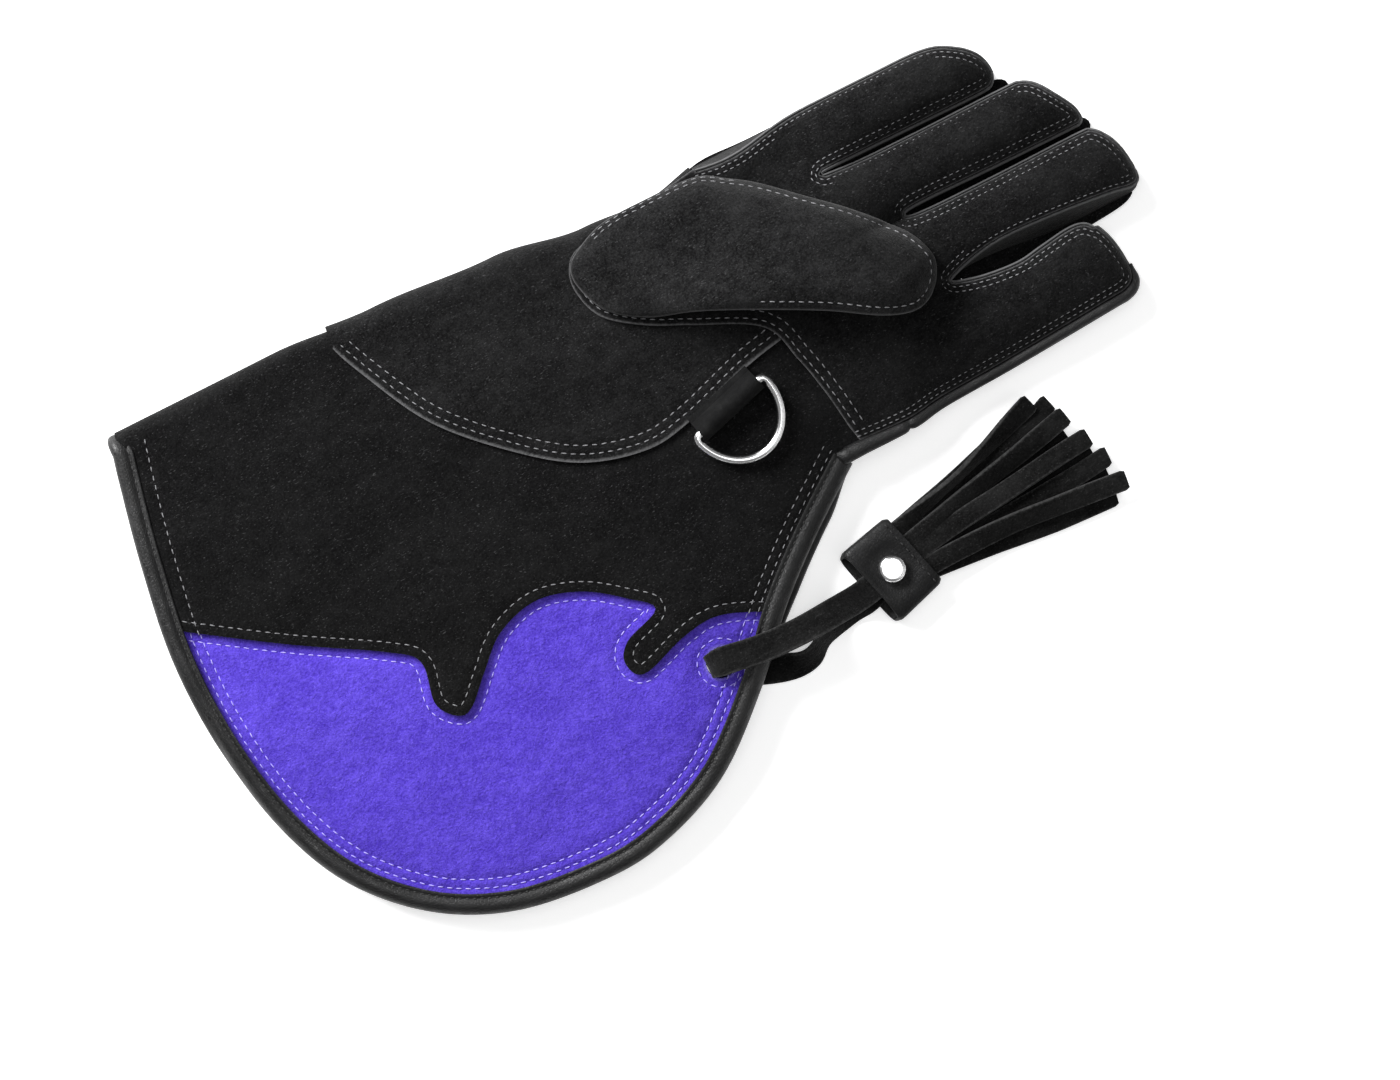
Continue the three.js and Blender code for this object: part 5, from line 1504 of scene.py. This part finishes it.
sleeve_top = SLEEVE_FLOOR + SLEEVE_HEIGHT
cap = SNAP_CAP / 2
AXIS, RIM = 0.02, 0.3  # a profile starts just off the axis, and the cap's rim is rounded
turned("snap_top", [(AXIS, sleeve_top + GAP), (cap - RIM, sleeve_top + GAP)]
       + [(cap * s, sleeve_top + GAP + RIM + (SNAP_DOME - RIM) * (1 - s ** 10))
          for s in np.cos(np.linspace(0, 1.56, 18))], "snap_cap_top")
turned("snap_under", [(AXIS, 0), (cap * 0.84, 0), (cap, 0.5), (cap, SNAP_UNDER), (AXIS, SNAP_UNDER)],
       "snap_cap_under")

# %% [markdown]
# All stitches of one colour come from one node tree: it walks each row, sets a short thread at every step
# along the row's direction with a small seeded turn, and makes them real.

# %% The stitches' node tree
def stitch_tree(material):
    tree = bpy.data.node_groups.new("stitches_" + material.name, "GeometryNodeTree")
    face = tree.interface
    face.new_socket("Rows", in_out="INPUT", socket_type="NodeSocketGeometry")
    for name in ("Pitch", "Length", "Thickness", "Unevenness"):
        face.new_socket(name, in_out="INPUT", socket_type="NodeSocketFloat")
    face.new_socket("Stitches", in_out="OUTPUT", socket_type="NodeSocketGeometry")

    def add(kind, settings=None, inputs=None):
        node = tree.nodes.new(kind)
        for key, value in (settings or {}).items():
            setattr(node, key, value)
        for key, value in (inputs or {}).items():
            if isinstance(value, bpy.types.NodeSocket):
                tree.links.new(value, node.inputs[key])
            else:
                node.inputs[key].default_value = value
        return node

    given = add("NodeGroupInput")
    curves = add("GeometryNodeMeshToCurve", None, {"Mesh": given.outputs["Rows"]})
    spots = add("GeometryNodeCurveToPoints", {"mode": "LENGTH"}, {
        "Curve": curves.outputs["Curve"], "Length": given.outputs["Pitch"]})
    along = add("FunctionNodeAlignRotationToVector", {"axis": "X"}, {"Vector": spots.outputs["Tangent"]})
    spread = add("ShaderNodeMath", {"operation": "MULTIPLY"}, {0: given.outputs["Unevenness"], 1: -1.0})
    wobble = add("FunctionNodeRandomValue", {"data_type": "FLOAT"}, {
        "Min": spread.outputs[0], "Max": given.outputs["Unevenness"], "Seed": 7})
    angle = add("ShaderNodeCombineXYZ", None, {"Z": wobble.outputs[1]})
    rotation = add("FunctionNodeRotateRotation", {"rotation_space": "LOCAL"}, {
        "Rotation": along.outputs[0], "Rotate By": angle.outputs[0]})
    bead = add("GeometryNodeMeshUVSphere", None, {"Segments": 8, "Rings": 5, "Radius": 0.5})
    size = add("ShaderNodeCombineXYZ", None, {"X": given.outputs["Length"], "Y": given.outputs["Thickness"],
                                              "Z": given.outputs["Thickness"]})
    placed = add("GeometryNodeInstanceOnPoints", None, {
        "Points": spots.outputs["Points"], "Instance": bead.outputs["Mesh"],
        "Rotation": rotation.outputs[0], "Scale": size.outputs[0]})
    real = add("GeometryNodeRealizeInstances", None, {"Geometry": placed.outputs["Instances"]})
    smoothed = add("GeometryNodeSetShadeSmooth", None, {"Geometry": real.outputs[0]})
    coloured = add("GeometryNodeSetMaterial", None, {"Geometry": smoothed.outputs[0], "Material": material})
    add("NodeGroupOutput", None, {"Stitches": coloured.outputs[0]})
    return tree


# %% [markdown]
# The rows become a mesh of edges that carries the node tree for a moment. The evaluated result is kept as
# a plain mesh, because the export needs real faces, and the carrier goes.

# %% Laying the stitches
UNEVEN = 0.09  # how far a stitch may turn from its row, in radians


def lay_stitches(name, lines, material, pitch, length, thickness):
    points, edges = [], []
    for line in lines:
        first = len(points)
        points += ((np.asarray(line) + SHIFT) * MM).tolist()
        edges += [(first + i, first + i + 1) for i in range(len(line) - 1)]
    row_mesh = bpy.data.meshes.new(name + "_rows")
    row_mesh.from_pydata(points, edges, [])
    carrier = linked(name + "_rows", row_mesh)
    tree = stitch_tree(material)
    modifier = carrier.modifiers.new("stitches", "NODES")
    modifier.node_group = tree
    wanted = {"Pitch": pitch * MM, "Length": length * MM, "Thickness": thickness * MM, "Unevenness": UNEVEN}
    for item in tree.interface.items_tree:
        if item.name in wanted:
            modifier[item.identifier] = wanted[item.name]
    carrier.update_tag()
    bpy.context.view_layer.update()
    evaluated = carrier.evaluated_get(bpy.context.evaluated_depsgraph_get())
    mesh = bpy.data.meshes.new_from_object(evaluated)
    bpy.data.objects.remove(carrier)
    finish_piece(linked(name, mesh), [])


lay_stitches("grey_stitches", rows["grey"], grey_thread, 3.2, 2.1, 0.44)
lay_stitches("fine_stitches", rows["fine"], grey_thread, 2.4, 1.6, 0.4)
lay_stitches("lilac_stitches", rows["lilac"], lilac_thread, 3.2, 2.2, 0.46)
lay_stitches("dark_stitches", rows["dark"], dark_thread, 2.6, 1.5, 0.5)

# %% [markdown]
# The photograph is taken from straight above on a pale floor, in soft light from all sides with a gentle
# key.

# %% Floor and light
FLOOR_SIZE, FLOOR_GLOW, SKY = 12.0, 0.5, 0.22
WHITE = (1, 1, 1, 1)
# Each light's place in metres, its size and its power
LIGHTS = {"key": ((-0.55, 1.25, 0.8), 0.8, 58), "overhead": ((0.05, 0.1, 1.6), 1.0, 7),
          "fill": ((0.9, -0.9, 1.1), 1.3, 3)}

floor_paint = Shader("floor").set(Base_Color=(0.9, 0.9, 0.9, 1), Roughness=0.9, Emission_Color=WHITE,
                                  Emission_Strength=FLOOR_GLOW).material
s = FLOOR_SIZE / 2
floor_mesh = bpy.data.meshes.new("floor")
floor_mesh.from_pydata([(-s, -s, 0), (s, -s, 0), (s, s, 0), (-s, s, 0)], [], [(0, 1, 2, 3)])
floor_mesh.materials.append(floor_paint)
floor = linked("floor", floor_mesh)
floor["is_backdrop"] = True

world = bpy.data.worlds.new("studio")
world.use_nodes = True
background = world.node_tree.nodes["Background"]
background.inputs["Color"].default_value = WHITE
background.inputs["Strength"].default_value = SKY
bpy.context.scene.world = world
bpy.context.scene.view_settings.view_transform = "Standard"

for name, (place, size, power) in LIGHTS.items():
    light = bpy.data.lights.new(name, "AREA")
    light.size = size
    light.energy = power
    lamp = linked(name, light)
    lamp.location = place
    lamp.rotation_euler = (-Vector(place)).to_track_quat("-Z", "Y").to_euler()
print("lights:", list(LIGHTS))

# %% [markdown]
# The camera looks straight down from 1.2 m through a long lens, so the glove's height hardly widens its
# outline, and it is turned until the glove lies across the picture as in the photograph.

# %% Camera
CAMERA_OVER, CAMERA_HEIGHT, CAMERA_TURN, LENS = (165.6, -123.7), 1.2, -27, 88
view = bpy.data.cameras.new("camera")
view.lens = LENS
view.sensor_width = 36
camera = linked("camera", view)
camera.location = (*[at * MM + step * MM for at, step in zip(CAMERA_OVER, SHIFT)], CAMERA_HEIGHT)
camera.rotation_euler = (0, 0, math.radians(CAMERA_TURN))
bpy.context.scene.camera = camera
print("camera over", tuple(round(at, 3) for at in camera.location))

# %% [markdown]
# The dressed glove is measured, and its box is printed. It differs from the measured model's box by the
# soft swells, the lips and the stitches.

# %% Measure and finish
low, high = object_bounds()
print("dressed glove, in metres:", tuple(low), tuple(high))
